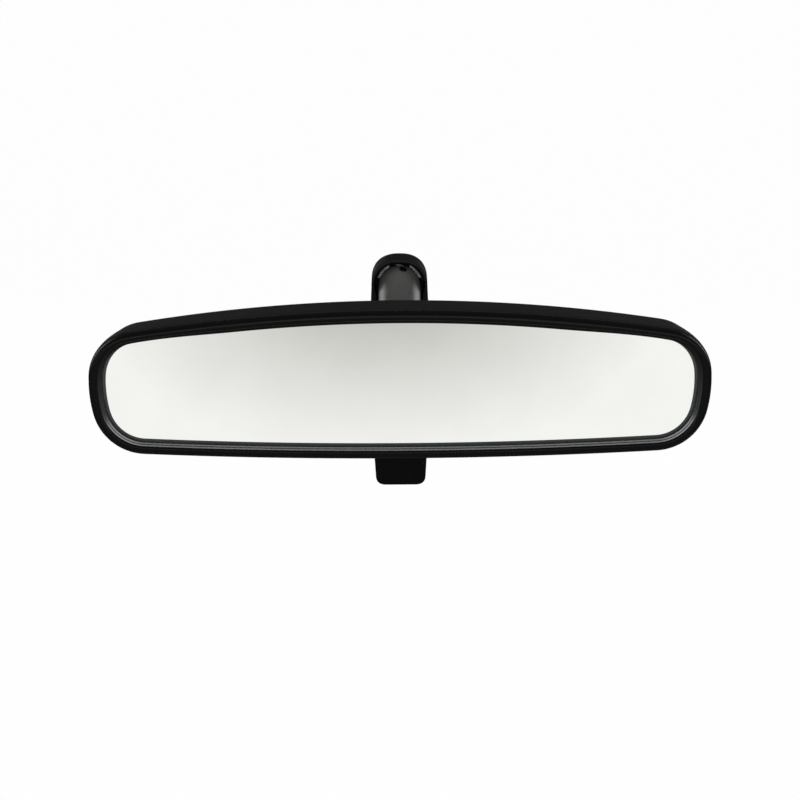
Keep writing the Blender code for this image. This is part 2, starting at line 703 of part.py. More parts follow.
def sphere_arc(radius, start, stop):
    """Arc in the profile plane; angles are from the mouth's axis."""
    return [(y, x) for x, y in arc((0.0, 0.0), radius, start, stop)]


def make_liner(name, ball):
    """Nylon zone between the ball and the swaged end of the tube."""
    profile = sphere_arc(LINER_OUT, LINER_MOUTH, LINER_EDGE) + sphere_arc(LINER_IN, LINER_EDGE, LINER_MOUTH)
    place(turned(profile, name, True), name, NYLON, ball)


def seat_back():
    """How far behind the ball's centre the seat ends."""
    return LINER_IN + SEAT_LENGTH


def make_seat(name, ball):
    """Cup that the spring presses on the ball, with a spigot inside the spring."""
    edge = TUBE_IN - CLEARANCE
    cup = [(y, x) for x, y in arc((0.0, 0.0), LINER_IN, math.pi, SEAT_EDGE)]
    cup[0] = (0.0, -LINER_IN)
    back = -seat_back()
    profile = cup + [(edge, cup[-1][1]), (edge, back), (SPIGOT_RADIUS, back),
                     (SPIGOT_RADIUS, back - SPIGOT_LENGTH), (0.0, back - SPIGOT_LENGTH)]
    place(turned(profile, name, False), name, NYLON, ball)


def make_tube(ball):
    """Steel tube with both ends swaged to a sphere, and a small hole near the upper one."""
    flip = -BALL_SPACING
    upper = sphere_arc(TUBE_OUT, TUBE_MOUTH, math.pi / 2)
    inner = sphere_arc(TUBE_IN, TUBE_MOUTH, math.pi / 2)
    outside = upper + [(r, flip - h) for r, h in upper[::-1]]
    inside = inner + [(r, flip - h) for r, h in inner[::-1]]
    tube = place(turned(outside + inside[::-1], "arm_tube", True, TUBE_STEPS), "arm_tube", GLOSS_PAINT, ball)
    way = Vector((math.sin(PEEP_TURN) * math.cos(PEEP_LIFT), -math.cos(PEEP_TURN) * math.cos(PEEP_LIFT),
                  math.sin(PEEP_LIFT)))
    drill = tool(rod(PEEP_RADIUS, LINER_OUT - TUBE_WALL, TUBE_OUT + TUBE_WALL, "peep_drill"), ball)
    drill.rotation_euler = way.to_track_quat("Z", "Y").to_euler()
    cut(tube, drill)


def make_spring(ball):
    """Coil between the two seats."""
    wire = SPRING_WIRE / 2
    radius = SPIGOT_RADIUS + CLEARANCE + wire
    top = -seat_back() - CLEARANCE - wire
    bottom = -BALL_SPACING + seat_back() + CLEARANCE + wire
    count = SPRING_TURNS * 12
    line = bpy.data.curves.new("arm_spring", "CURVE")
    line.dimensions = "3D"
    line.bevel_depth = wire
    line.bevel_resolution = 2
    line.use_fill_caps = True
    coil = line.splines.new("POLY")
    coil.points.add(count)
    for i in range(count + 1):
        turn = 2 * math.pi * SPRING_TURNS * i / count
        height = top + (bottom - top) * i / count
        coil.points[i].co = (radius * math.cos(turn), radius * math.sin(turn), height, 1.0)
    spring = bpy.data.objects.new("arm_spring", line)
    line.materials.append(STEEL)
    spring.parent = ball
    PARTS.objects.link(spring)


def make_lower_fasteners(ball):
    """Washer and lock nut that hold the lower stud in the bracket."""
    hole = SHANK_RADIUS + CLEARANCE
    low = NUT_SEAT + CLEARANCE
    high = low + WASHER_THICKNESS
    rim = hole + WASHER_RIM
    place(turned([(rim, high), (rim, low), (hole, low), (hole, high)], "stud_washer", True), "stud_washer",
          STEEL, ball)
    low = high + CLEARANCE
    high = low + NUT_THICKNESS
    corner = NUT_ACROSS / math.cos(math.pi / 6) / 2
    nut = place(turned([(0.0, high), (corner, high), (corner, low), (0.0, low)], "stud_lock_nut", False, 6),
                "stud_lock_nut", STEEL, ball)
    cut(nut, tool(rod(hole, low - NUT_THICKNESS, high + NUT_THICKNESS, "nut_bore"), ball))
    return high + STUD_TAIL


def button_outline(grow, bottom):
    """Keystone outline: flat end down with round corners, round end up."""
    half = BUTTON_WIDTH / 2
    radius = (half ** 2 + BUTTON_CROWN ** 2) / (2 * BUTTON_CROWN)
    centre = BUTTON_LENGTH / 2 - radius
    reach = math.asin((half + grow) / (radius + grow))
    corner = BUTTON_CORNER + grow
    wide = half + grow
    points = arc((0.0, centre), radius + grow, math.pi / 2 - reach, math.pi / 2 + reach, 2 * ARC_STEPS)
    points += arc((corner - wide, bottom - grow + corner), corner, math.pi, 1.5 * math.pi, 4)
    points += arc((wide - corner, bottom - grow + corner), corner, 1.5 * math.pi, 2 * math.pi, 4)
    return points


def button_ring(grow, depth, bottom=-BUTTON_LENGTH / 2):
    """The button's outline at a depth."""
    return [(x, depth, z) for x, z in button_outline(grow, bottom)]


def make_button():
    """Zinc plate, bevelled to the glass side, with two conical dimples that run together."""
    edge = BUTTON_EDGE - BUTTON_THICKNESS
    rings = [button_ring(-BUTTON_BEVEL, 0.0), button_ring(0.0, edge), button_ring(0.0, -BUTTON_THICKNESS)]
    button = place(loft(rings, "windshield_button"), "windshield_button", ZINC)
    past = BUTTON_EDGE
    rim = DIMPLE_RADIUS + (DIMPLE_RADIUS - DIMPLE_FLOOR) / DIMPLE_DEPTH * past
    profile = [(0.0, past), (rim, past), (DIMPLE_FLOOR, -DIMPLE_DEPTH), (0.0, -DIMPLE_DEPTH)]
    for name, height in (("low", SCREW_HEIGHT), ("high", SCREW_HEIGHT + DIMPLE_PITCH)):
        cone = turned(profile, "dimple_" + name, False, SMALL_STEPS)
        cut(button, tool(cone, None, (0.0, -BUTTON_THICKNESS, height), (math.pi / 2, 0.0, 0.0)))


def arch_outline(radius, bottom):
    """Full round top about the upper ball, with legs that flare a little."""
    top = []
    for x, z in arc((0.0, 0.0), 1.0, 0.0, math.pi, 4 * ARC_STEPS):
        wide = math.copysign(abs(x) ** (2.0 / HOOD_FULLNESS), x)
        top.append((radius * wide, BALL_HEIGHT + radius * abs(z) ** (2.0 / HOOD_FULLNESS)))
    spread = (BALL_HEIGHT - bottom) * math.tan(HOOD_FLARE) + radius
    return top + [(-spread, bottom), (spread, bottom)]


def make_foot(ball):
    """Cast foot: dovetail channel behind, arched hood in front, bosses for stud and screw."""
    front = UPPER_BALL[1] - HOOD_OVERHANG
    rear = CHANNEL_FLOOR - FOOT_WEB / 4
    hood = slab(arch_outline(HOOD_OUT, FOOT_BOTTOM), rear, front, "XZ", "mount_foot")
    foot = place(hood, "mount_foot", CAST_PAINT)
    soften(foot, HOOD_FILLET)
    wall = CLEARANCE + CHANNEL_WALL
    low = FOOT_BOTTOM + wall
    base = [button_ring(wall, FOOT_BACK, low), button_ring(wall, WEB_FRONT, low)]
    join(foot, tool(loft(base, "channel_block")))
    deep = FOOT_BOTTOM - BUTTON_LENGTH
    cave = slab(arch_outline(HOOD_IN, deep), WEB_FRONT, front - BALL_TO_WEB, "XZ", "hood_cavity")
    cut(foot, tool(cave))
    boss = rod(FLANGE_RADIUS + HOOD_WALL, SHOULDER_AT + CLEARANCE, SHOULDER_AT + STUD_SEAT, "stud_boss")
    join(foot, tool(boss, ball))
    boss = rod(BOSS_RADIUS, 0.0, BOSS_HEIGHT + FOOT_WEB / 2, "screw_boss")
    away = (math.pi / 2, 0.0, 0.0)
    join(foot, tool(boss, None, (0.0, WEB_FRONT + FOOT_WEB / 2, SCREW_HEIGHT), away))
    edge = BUTTON_EDGE - BUTTON_THICKNESS
    past = FOOT_SETBACK
    narrow = CLEARANCE - BUTTON_BEVEL
    rings = [button_ring(narrow, past, deep), button_ring(narrow, 0.0, deep),
             button_ring(CLEARANCE, edge, deep), button_ring(CLEARANCE, CHANNEL_FLOOR, deep)]
    channel = tool(loft(rings, "channel"))
    spot = rod(FLANGE_RADIUS + CLEARANCE, 0.0, SHOULDER_AT + CLEARANCE, "stud_spotface")
    bore = rod(SHANK_RADIUS + CLEARANCE, 0.0, SHOULDER_AT + STUD_SEAT + CLEARANCE, "stud_bore")
    hole = rod(SCREW_RADIUS + CLEARANCE, -BOSS_HEIGHT, BOSS_HEIGHT + 2 * FOOT_WEB, "screw_hole")
    low = (front - HOOD_WALL, BALL_HEIGHT + HOOD_RIM_DROP)
    under = FOOT_BOTTOM - HOOD_WALL
    relief = slab([low, (WEB_FRONT - BOSS_HEIGHT, under), (low[0], under)],
                  -2 * HOOD_OUT, 2 * HOOD_OUT, "YZ", "leg_relief")
    cut(foot, channel, tool(spot, ball), tool(bore, ball),
        tool(hole, None, (0.0, CHANNEL_FLOOR + BOSS_HEIGHT / 2, SCREW_HEIGHT), away), tool(relief))


def make_screw():
    """Button head screw with a hexagon socket and a cone point in the dimple."""
    length = -SCREW_SEAT - BUTTON_THICKNESS + DIMPLE_DEPTH - 2 * CLEARANCE
    tip = DIMPLE_FLOOR - CLEARANCE / 2
    profile = [(0.0, SCREW_HEAD), (0.5 * SCREW_HEAD_RADIUS, 0.94 * SCREW_HEAD),
               (0.82 * SCREW_HEAD_RADIUS, 0.62 * SCREW_HEAD), (SCREW_HEAD_RADIUS, 0.12 * SCREW_HEAD),
               (SCREW_HEAD_RADIUS, 0.0), (SCREW_RADIUS, 0.0), (SCREW_RADIUS, SCREW_POINT - length),
               (tip, -length), (0.0, -length)]
    away = (math.pi / 2, 0.0, 0.0)
    spot = (0.0, SCREW_SEAT, SCREW_HEIGHT)
    mesh = turned(profile, "foot_clamp_screw", False, SMALL_STEPS)
    screw = place(mesh, "foot_clamp_screw", STEEL, None, spot, away)
    low = SCREW_HEAD - SCREW_SOCKET
    socket = turned([(0.0, 2 * SCREW_HEAD), (SCREW_SOCKET, 2 * SCREW_HEAD), (SCREW_SOCKET, low), (0.0, low)],
                    "hexagon_socket", False, 6)
    cut(screw, tool(socket, None, spot, away))


def main():
    """Build every piece on the empty that marks its joint."""
    upper = empty("upper_ball_centre", UPPER_BALL, UPPER_TURN)
    lower = empty("lower_ball_centre", LOWER_BALL, LOWER_TURN)
    hinge = empty("case_hinge_axis", HEAD + HINGE_AT)
    pivot = empty("lever_axis", HEAD + LEVER_AT)
    make_button()
    make_foot(upper)
    make_screw()
    place(stud_mesh(SHOULDER_AT + STUD_SEAT, "upper_ball_stud"), "upper_ball_stud", STEEL, upper)
    make_liner("upper_ball_liner", upper)
    make_tube(upper)
    make_seat("upper_spring_seat", upper)
    make_spring(upper)
    make_seat("lower_spring_seat", lower)
    make_liner("lower_ball_liner", lower)
    tail = make_lower_fasteners(lower)
    place(stud_mesh(tail, "lower_ball_stud"), "lower_ball_stud", STEEL, lower)
    make_bracket(lower)
    make_case(hinge)
    make_bezel(hinge)
    make_glass(hinge)
    make_pins(hinge)
    make_detent(hinge)
    make_lever(pivot)


main()
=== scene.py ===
"""Finished look of an interior rearview mirror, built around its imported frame.

Every new surface is worked out with numpy on a grid, in metres, in the frame's own axes:
+Y runs to the windshield, the glass looks along -Y and +Z is up.
"""
import json
import math

import bmesh
import bpy
import numpy as np
from mathutils import Matrix, Vector


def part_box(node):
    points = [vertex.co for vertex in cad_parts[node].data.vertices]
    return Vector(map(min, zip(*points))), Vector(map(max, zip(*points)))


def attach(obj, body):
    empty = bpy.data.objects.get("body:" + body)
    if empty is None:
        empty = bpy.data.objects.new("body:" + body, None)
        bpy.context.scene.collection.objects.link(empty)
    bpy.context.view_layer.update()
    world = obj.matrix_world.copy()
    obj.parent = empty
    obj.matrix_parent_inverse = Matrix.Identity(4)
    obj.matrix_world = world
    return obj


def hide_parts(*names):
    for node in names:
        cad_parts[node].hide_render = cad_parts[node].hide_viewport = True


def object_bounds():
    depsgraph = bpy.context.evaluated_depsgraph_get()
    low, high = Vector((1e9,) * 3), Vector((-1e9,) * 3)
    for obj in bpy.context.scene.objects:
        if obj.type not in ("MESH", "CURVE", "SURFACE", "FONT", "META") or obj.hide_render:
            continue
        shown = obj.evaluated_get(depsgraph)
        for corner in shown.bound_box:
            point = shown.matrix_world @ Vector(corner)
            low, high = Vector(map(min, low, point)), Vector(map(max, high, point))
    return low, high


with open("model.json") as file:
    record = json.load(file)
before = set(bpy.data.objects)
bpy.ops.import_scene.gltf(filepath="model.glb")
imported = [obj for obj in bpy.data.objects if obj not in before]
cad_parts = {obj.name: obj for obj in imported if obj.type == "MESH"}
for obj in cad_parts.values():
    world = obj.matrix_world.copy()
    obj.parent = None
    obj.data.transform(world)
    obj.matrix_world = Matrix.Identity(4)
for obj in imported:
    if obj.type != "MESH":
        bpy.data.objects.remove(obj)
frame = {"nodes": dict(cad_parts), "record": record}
CAD_BOX = [list(corner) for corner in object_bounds()]

bl_info = {
    "name": "Interior Rearview Mirror",
    "version": (1, 0, 0),
    "blender": (4, 5, 0),
    "location": "View3D > Sidebar > Mirror",
    "description": "Builds the finished surfaces, materials and studio of an interior rearview mirror",
    "category": "Object",
}

# Places that the frame gives: joint centres and the boxes of the solids.
JOINTS = {joint["name"]: joint for joint in frame["record"]["behaviour"]["joints"]}
UPPER_BALL = np.array(JOINTS["arm_pitch"]["pos_m"])
LOWER_BALL = np.array(JOINTS["head_pitch"]["pos_m"])
LEVER_PIVOT = np.array(JOINTS["lever_flip"]["pos_m"])
ARM_AXIS = (UPPER_BALL - LOWER_BALL) / np.linalg.norm(UPPER_BALL - LOWER_BALL)
ARM_LENGTH = float(np.linalg.norm(UPPER_BALL - LOWER_BALL))
BEZEL_LOW, BEZEL_HIGH = (np.array(corner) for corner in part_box("front_bezel"))
CASE_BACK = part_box("rear_case")[1][1]
FOOT_LOW, FOOT_HIGH = (np.array(corner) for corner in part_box("mount_foot"))
BUTTON_LOW, BUTTON_HIGH = (np.array(corner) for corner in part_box("windshield_button"))
SCREW_LOW, SCREW_HIGH = (np.array(corner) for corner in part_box("foot_clamp_screw"))
LEVER_LOW, LEVER_HIGH = (np.array(corner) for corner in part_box("day_night_lever"))
TUBE_LOW, TUBE_HIGH = (np.array(corner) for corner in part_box("arm_tube"))
TUBE_RADIUS = float(TUBE_HIGH[0] - TUBE_LOW[0]) / 2
BALL_LOW, BALL_HIGH = (np.array(corner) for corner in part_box("upper_ball_stud"))
BALL_RADIUS = float(BALL_HIGH[0] - BALL_LOW[0]) / 2
HALF_FACE = float(BEZEL_HIGH[0] - BEZEL_LOW[0]) / 2
FACE_HEIGHT = float(BEZEL_HIGH[2] - BEZEL_LOW[2])
FULL_TURN = 2.0 * math.pi

# Sizes that the pieces share, in metres. Crisp is the rounding of an edge that only catches light.
CLEARANCE = 0.0003
CRISP = 0.0001
LIP_OVERLAP = 0.00075
SHANK_RADIUS = 0.00275
FLANGE_RADIUS = 0.0044
FLANGE_THICKNESS = 0.0014
FLANGE_START = math.sqrt((TUBE_RADIUS + CLEARANCE) ** 2 - FLANGE_RADIUS ** 2)
BUTTON_CORNER = 0.003
CHANNEL_FLOOR = float(BUTTON_LOW[1]) - CLEARANCE
SCREW_BOSS_RISE = 0.0022
SCREW_HEIGHT = (SCREW_LOW[2] + SCREW_HIGH[2]) / 2

# Directions: across the car, and to and from the windshield.
ACROSS = np.array([1.0, 0.0, 0.0])
TO_WINDSHIELD = (0.0, 1.0, 0.0)
FROM_WINDSHIELD = (0.0, -1.0, 0.0)


def length(name, words, default):
    """A size property in metres."""
    return bpy.props.FloatProperty(name=name, description=words, default=default, min=0.0, unit="LENGTH",
                                   precision=5)


def share(name, words, default, high=1.0):
    """A plain factor."""
    return bpy.props.FloatProperty(name=name, description=words, default=default, min=0.0, max=high)


def angle(name, words, degrees):
    """An angle, given in degrees."""
    return bpy.props.FloatProperty(name=name, description=words, default=math.radians(degrees),
                                   subtype="ANGLE")


def power(name, words, default):
    """A lamp's power in watts."""
    return bpy.props.FloatProperty(name=name, description=words, default=default, min=0.0, unit="POWER")


def colour(name, words, default):
    """A linear colour."""
    return bpy.props.FloatVectorProperty(name=name, description=words, default=default, size=3, min=0.0,
                                         max=1.0, subtype="COLOR")


class MirrorHeadSizes(bpy.types.PropertyGroup):
    """Sizes of the head: outline, bezel section, case and glass."""
    rise_share: share("Rise share", "Share of the face height above the widest level", 0.47463)
    upper_corner: length("Upper corner", "Radius of the outline's upper corners", 0.0191)
    upper_side: length("Upper side", "Radius of the ends above the widest level", 0.0475)
    upper_sweep: angle("Upper sweep", "Angle that the ends take up above the widest level", 3.3)
    lower_corner: length("Lower corner", "Radius of the outline's lower corners", 0.0221)
    lower_side: length("Lower side", "Radius of the ends below the widest level", 0.053)
    lower_sweep: angle("Lower sweep", "Angle that the ends take up below the widest level", 13.9)
    bead_width: length("Bead width", "Width of the bezel's rounded front bead", 0.0037)
    bezel_depth: length("Bezel depth", "Depth of the bezel in front of the case", 0.005)
    lip_reach: length("Lip reach", "How far the bezel reaches in over the glass", 0.0052)
    lip_depth: length("Lip depth", "Depth of the glass behind the bezel's crest", 0.00275)
    skirt: length("Skirt", "Length of the bezel's skirt inside the case", 0.0046)
    case_wall: length("Case wall", "Thickness of the moulded shell", 0.0024)
    case_proud: length("Case proud", "How far the case stands out past the bezel", 0.0005)
    case_rounding: length("Case rounding", "Radius of the case's rear edge", 0.0055)
    end_draft: length("End draft", "How far the ends of the case lean in", 0.0032)
    opening: length("Stud opening", "Radius of the opening for the ball stud", 0.010)
    collar: length("Collar", "Radius of the raised ring about the opening", 0.0145)
    glass_bevel: length("Glass bevel", "Width of the ground bevel of the glass", 0.00245)
    crown_share: share("Crown share", "Width of the bezel along the top, as a share of that at the ends", 0.9)
    bevel_share: share("Bevel share",
                       "Inset of the bevel's inner edge at the top, as a share of that at the ends", 0.62)
    corner_ease: share("Corner ease", "How much narrower the bezel gets towards the upper corners", 0.25)
    sill_share: share("Sill share", "Width of the bezel along the bottom, as a share of that at the ends",
                      0.88)


class MirrorArmSizes(bpy.types.PropertyGroup):
    """Sizes of the arm, the foot and the lever."""
    tube_wall: length("Tube wall", "Wall of the arm tube", 0.0011)
    tube_mouth: angle("Tube mouth", "Half angle of the opening at each end of the tube", 50.0)
    lip_round: length("Lip round", "Rounding of the tube's swaged lip", 0.0004)
    dome_slim: share("Dome slim", "How much the tube's swaged ends draw in towards their mouths", 0.15)
    peep: length("Peep hole", "Radius of the small hole near the upper ball", 0.00165)
    peep_turn: angle("Peep turn", "Turn of the small hole to the right", 10.7)
    peep_lift: angle("Peep lift", "Lift of the small hole above the ball's middle", 2.0)
    hood_gap: length("Hood gap", "Gap between the tube and the hood", 0.0020)
    hood_wall: length("Hood wall", "Wall of the hood", 0.0011)
    hood_flare: angle("Hood flare", "Outward lean of the hood's legs", 2.5)
    hood_fullness: share("Hood fullness", "Exponent of the hood's arch, 2 for a half circle", 2.4, 4.0)
    hood_rise: share("Hood rise", "Height of the hood's arch as a share of its half width", 0.97)
    leg_growth: length("Leg growth", "How much thicker the hood's legs are than its roof", 0.0012)
    hood_round: length("Hood round", "Rounding of the hood's edges", 0.0003)
    rim_drop: length("Rim drop", "Height above the ball where the hood's front edge turns back", 0.004)
    channel_wall: length("Channel wall", "Wall beside the button's channel", 0.0017)
    web: length("Web", "Thickness between channel and hood", 0.004)
    # The pad behind the upper ball is coloured with painted light: a bright grey that stands for the light
    # falling into the hood.
    painted_light_pad_radius: length("Spot face", "Radius of the thinly painted pad behind the upper ball", 0.0104)
    button_crown: length("Button crown", "Height of the button's round end", 0.006)
    button_bevel: length("Button bevel", "Undercut of the button's sides", 0.0012)
    tab_thickness: length("Tab thickness", "Thickness of the lever's tab", 0.003)
    tab_corner: length("Tab corner", "Corner radius of the lever's tab", 0.0042)
    tab_taper: length("Tab taper", "How much each side of the tab leans in", 0.0012)
    hub: length("Lever hub", "Radius of the lever's hub", 0.004)
    lever_lean: angle("Lever lean", "Lean of the lever at rest", 18.0)


class MirrorFinish(bpy.types.PropertyGroup):
    """Colours and finish of the mirror's materials."""
    case_black: colour("Case black", "Grained moulding of the case", (0.0125, 0.0125, 0.0117))
    bezel_black: colour("Bezel black", "Smooth moulding of the bezel", (0.0022, 0.0022, 0.0022))
    # Also used as painted shade on the hood's inner wall and on the peep hole's bore.
    lever_black: colour("Lever black", "Deep black moulding of the lever", (0.0016, 0.0016, 0.0016))
    paint_black: colour("Paint black", "Satin paint of the arm", (0.052, 0.052, 0.0500))
    foot_black: colour("Foot black", "Satin paint of the foot", (0.013, 0.013, 0.0126))
    # Painted light: this bright grey on the pad behind the upper ball stands for light falling into the hood,
    # not for the casting's own colour.
    painted_light_grey: colour("Web grey", "Thinly painted casting inside the hood", (0.70, 0.70, 0.68))
    silver: colour("Silver", "Reflection of the silvered glass", (0.90, 0.905, 0.89))
    ground_glass: colour("Ground glass", "Green grey of the ground glass edge", (0.030, 0.038, 0.035))
    zinc: colour("Zinc", "Zinc casting of the button", (0.30, 0.30, 0.29))
    steel: colour("Steel", "Bright steel", (0.56, 0.55, 0.53))
    nylon: colour("Nylon", "Black nylon of the liners", (0.006, 0.006, 0.006))
    foam: colour("Foam", "Foam behind the glass", (0.02, 0.02, 0.02))
    grain: length("Grain", "Cell size of the moulded grain", 0.0007)


class MirrorStudio(bpy.types.PropertyGroup):
    """Camera and light."""
    elevation: angle("Elevation", "Height of the camera above the horizon", 13.45)
    roll: angle("Roll", "Roll of the camera", -0.4)
    distance: length("Distance", "Distance of the camera from the bezel", 1.1)
    frame_width: length("Frame width", "Width of the picture at the bezel", 0.3257)
    aim: bpy.props.FloatVectorProperty(name="Aim", description="Shift of the camera to the right and upward",
                                       default=(-0.0001, -0.00545), size=2, unit="LENGTH")
    floor_gap: length("Floor gap", "Gap between the lever and the floor", 0.15)
    paper: share("Paper", "Share of plain white that the camera sees on the floor", 0.985)
    key_power: power("Key power", "Power of the overhead softbox", 0.5)
    front_power: power("Front power", "Power of the softbox at the camera", 13.0)
    rear_power: power("Rear power", "Power of the softbox behind", 4.0)
    side_power: power("Side power", "Power of each side softbox", 1.6)
    fill_power: power("Fill power", "Power of each front corner softbox", 5.0)


GROUPS = {"mirror_head": MirrorHeadSizes, "mirror_arm": MirrorArmSizes, "mirror_finish": MirrorFinish,
          "mirror_studio": MirrorStudio}


class Wire:
    """A shader socket that takes part in arithmetic: each operation adds one Math node."""

    def __init__(self, shop, socket):
        self.shop = shop
        self.socket = socket

    def _math(self, operation, first, second):
        return self.shop.node("ShaderNodeMath", {"operation": operation}, {0: first, 1: second})

    def __add__(self, other):
        return self._math("ADD", self, other)

    def __sub__(self, other):
        return self._math("SUBTRACT", self, other)

    def __mul__(self, other):
        return self._math("MULTIPLY", self, other)

    def __rsub__(self, other):
        return self._math("SUBTRACT", other, self)

    __radd__ = __add__
    __rmul__ = __mul__

    def largest(self, other):
        """The larger of two values."""
        return self._math("MAXIMUM", self, other)


class Shop:
    """One material's node tree."""

    def __init__(self, tree):
        self.tree = tree

    def node(self, kind, settings=None, inputs=None, output=0):
        """Add a node, set it up first, then fill its sockets with values or links."""
        made = self.tree.nodes.new(kind)
        for key, value in (settings or {}).items():
            setattr(made, key, value)
        for key, value in (inputs or {}).items():
            if isinstance(value, Wire):
                self.tree.links.new(value.socket, made.inputs[key])
            else:
                made.inputs[key].default_value = value
        return Wire(self, made.outputs[output]) if len(made.outputs) else None

    def place(self):
        """Object coordinates."""
        return self.node("ShaderNodeTexCoord", output="Object")

    def noise(self, scale, detail=3.0, roughness=0.5):
        """Noise between 0 and 1."""
        return self.node("ShaderNodeTexNoise", None, {
            "Vector": self.place(), "Scale": scale, "Detail": detail, "Roughness": roughness})

    def span(self, value, low, high, start=0.0, stop=1.0):
        """A value mapped from one range to another, and held at its ends."""
        return self.node("ShaderNodeMapRange", {"clamp": True}, {
            "Value": value, "From Min": low, "From Max": high, "To Min": start, "To Max": stop})

    def vector(self, operation, *inputs, output=0):
        """Vector arithmetic."""
        return self.node("ShaderNodeVectorMath", {"operation": operation}, dict(enumerate(inputs)), output)

    def blend(self, factor, one, other):
        """A colour between two colours."""
        return self.node("ShaderNodeMix", {"data_type": "RGBA"}, {0: factor, 6: one, 7: other}, 2)

    def drift(self, value, low, high, shade, dark, light):
        """A shade that goes from a darker to a lighter tone as a value rises."""
        return self.blend(self.span(value, low, high), tone(shade, dark), tone(shade, light))

    def ray(self, kind):
        """Whether a ray is of a kind."""
        return self.node("ShaderNodeLightPath", output=f"Is {kind} Ray")

    def bump(self, height, strength, depth):
        """A normal from a height."""
        return self.node("ShaderNodeBump", None, {"Height": height, "Strength": strength, "Distance": depth})


def principled(name):
    """A new material, its shop and its Principled shader."""
    made = bpy.data.materials.new(name)
    made.use_nodes = True
    shader = made.node_tree.nodes["Principled BSDF"]
    return made, Shop(made.node_tree), shader


def feed(shop, shader, constants, **varying):
    """Set what is the same all over, and link what varies."""
    for key, value in constants.items():
        shader.inputs[key].default_value = value
    for key, wire in varying.items():
        shop.tree.links.new(wire.socket, shader.inputs[key.replace("_", " ")])


def tone(shade, factor=1.0):
    """A colour with alpha, made lighter or darker."""
    return (*(min(1.0, part * factor) for part in shade), 1.0)


def grey(level):
    """A neutral colour with alpha."""
    return (level, level, level, 1.0)


def moulded(name, shade, rough, grain, depth, specular):
    """Moulded plastic: a cell grain in the skin, with slow drifts in colour and sheen.

    Where the mesh has the attribute polish, the skin is bright as from a polished mould.
    """
    made, shop, shader = principled(name)
    cells = shop.node("ShaderNodeTexVoronoi", {"feature": "SMOOTH_F1"}, {
        "Vector": shop.place(), "Scale": 1.0 / grain, "Smoothness": 0.6})
    fine = shop.noise(2.2 / grain, 2.0)
    slow = shop.noise(38.0, 4.0)
    scuff = shop.noise(420.0, 5.0, 0.65)
    base = shop.drift(slow, 0.3, 0.7, shade, 0.86, 1.14)
    base = shop.blend(shop.span(cells, 0.15, 0.75, 0.0, 0.35), base, tone(shade, 0.55))
    sheen = rough + 0.10 * (scuff - 0.5) + 0.08 * (slow - 0.5)
    polish = shop.node("ShaderNodeAttribute", {"attribute_name": "polish"}, None, "Fac")
    feed(shop, shader, {"Specular IOR Level": specular, "Coat Roughness": 0.16}, Base_Color=base,
         Roughness=sheen, Coat_Weight=polish * (0.8 + 0.4 * scuff),
         Normal=shop.bump(cells + 0.35 * fine, 0.55, depth))
    return made


def painted(name, shade, rough, peel, coat, specular):
    """Sprayed paint: soft orange peel and a few dull clouds."""
    made, shop, shader = principled(name)
    ripple = shop.noise(1.0 / peel, 2.0, 0.4)
    cloud = shop.noise(130.0, 4.0)
    speck = shop.span(shop.noise(2600.0, 1.0), 0.66, 0.74)
    base = shop.drift(cloud, 0.3, 0.7, shade, 0.85, 1.15)
    base = shop.blend(speck * 0.35, base, tone(shade, 2.2))
    sheen = rough + 0.07 * (cloud - 0.5) + 0.10 * speck
    feed(shop, shader, {"Coat Weight": coat, "Coat Roughness": 0.3, "Specular IOR Level": specular},
         Base_Color=base, Roughness=sheen, Normal=shop.bump(ripple, 0.12, peel * 0.05))
    return made


def metal(name, shade, rough, streak, mottle):
    """Bare metal: fine streaks, cloudy stains and small pits."""
    made, shop, shader = principled(name)
    cloud = shop.noise(240.0, 5.0, 0.6)
    fine = shop.noise(streak, 3.0)
    pits = shop.span(shop.noise(1900.0, 2.0), 0.62, 0.72)
    base = shop.drift(cloud, 0.35, 0.68, shade, 1.0 - mottle, 1.0 + 0.6 * mottle)
    base = shop.blend(pits * mottle, base, tone(shade, 0.4))
    sheen = rough + 0.18 * (cloud - 0.5) + 0.10 * (fine - 0.5) + 0.12 * pits
    feed(shop, shader, {"Metallic": 1.0}, Base_Color=base, Roughness=sheen,
         Normal=shop.bump(fine - pits, 0.18, 0.00005))
    return made


def silvered(name, shade):
    """Silvered glass: a clean mirror with the faintest haze."""
    made, shop, shader = principled(name)
    haze = shop.noise(55.0, 4.0)
    base = shop.drift(haze, 0.35, 0.65, shade, 0.985, 1.01)
    feed(shop, shader, {"Metallic": 1.0}, Base_Color=base, Roughness=0.015 + 0.012 * haze)
    return made


def ground_edge(name, shade):
    """Ground edge of the glass: green grey with fine grinding marks."""
    made, shop, shader = principled(name)
    marks = shop.noise(3000.0, 2.0)
    tint = shop.noise(90.0, 3.0)
    base = shop.drift(tint, 0.3, 0.7, shade, 0.9, 1.1)
    feed(shop, shader, {"Specular IOR Level": 0.3}, Base_Color=base, Roughness=0.2 + 0.1 * marks,
         Normal=shop.bump(marks, 0.08, 0.00003))
    return made


def nylon_skin(name, shade):
    """Nylon: waxy and slightly cloudy."""
    made, shop, shader = principled(name)
    cloud = shop.noise(300.0, 3.0)
    base = shop.drift(cloud, 0.3, 0.7, shade, 0.92, 1.05)
    feed(shop, shader, {"Subsurface Weight": 0.1, "Subsurface Scale": 0.002}, Base_Color=base,
         Roughness=0.42 + 0.12 * (cloud - 0.5), Normal=shop.bump(cloud, 0.1, 0.00008))
    return made


def foam_skin(name, shade):
    """Open foam: round cells, with painted shade that darkens each cell towards its deep middle."""
    made, shop, shader = principled(name)
    cells = shop.node("ShaderNodeTexVoronoi", None, {"Vector": shop.place(), "Scale": 1400.0})
    base = shop.drift(cells, 0.1, 0.7, shade, 0.4, 1.5)
    feed(shop, shader, {"Specular IOR Level": 0.2}, Base_Color=base, Roughness=0.9 + 0.05 * cells,
         Normal=shop.bump(cells, 0.6, 0.0003))
    return made


MATERIALS = {}


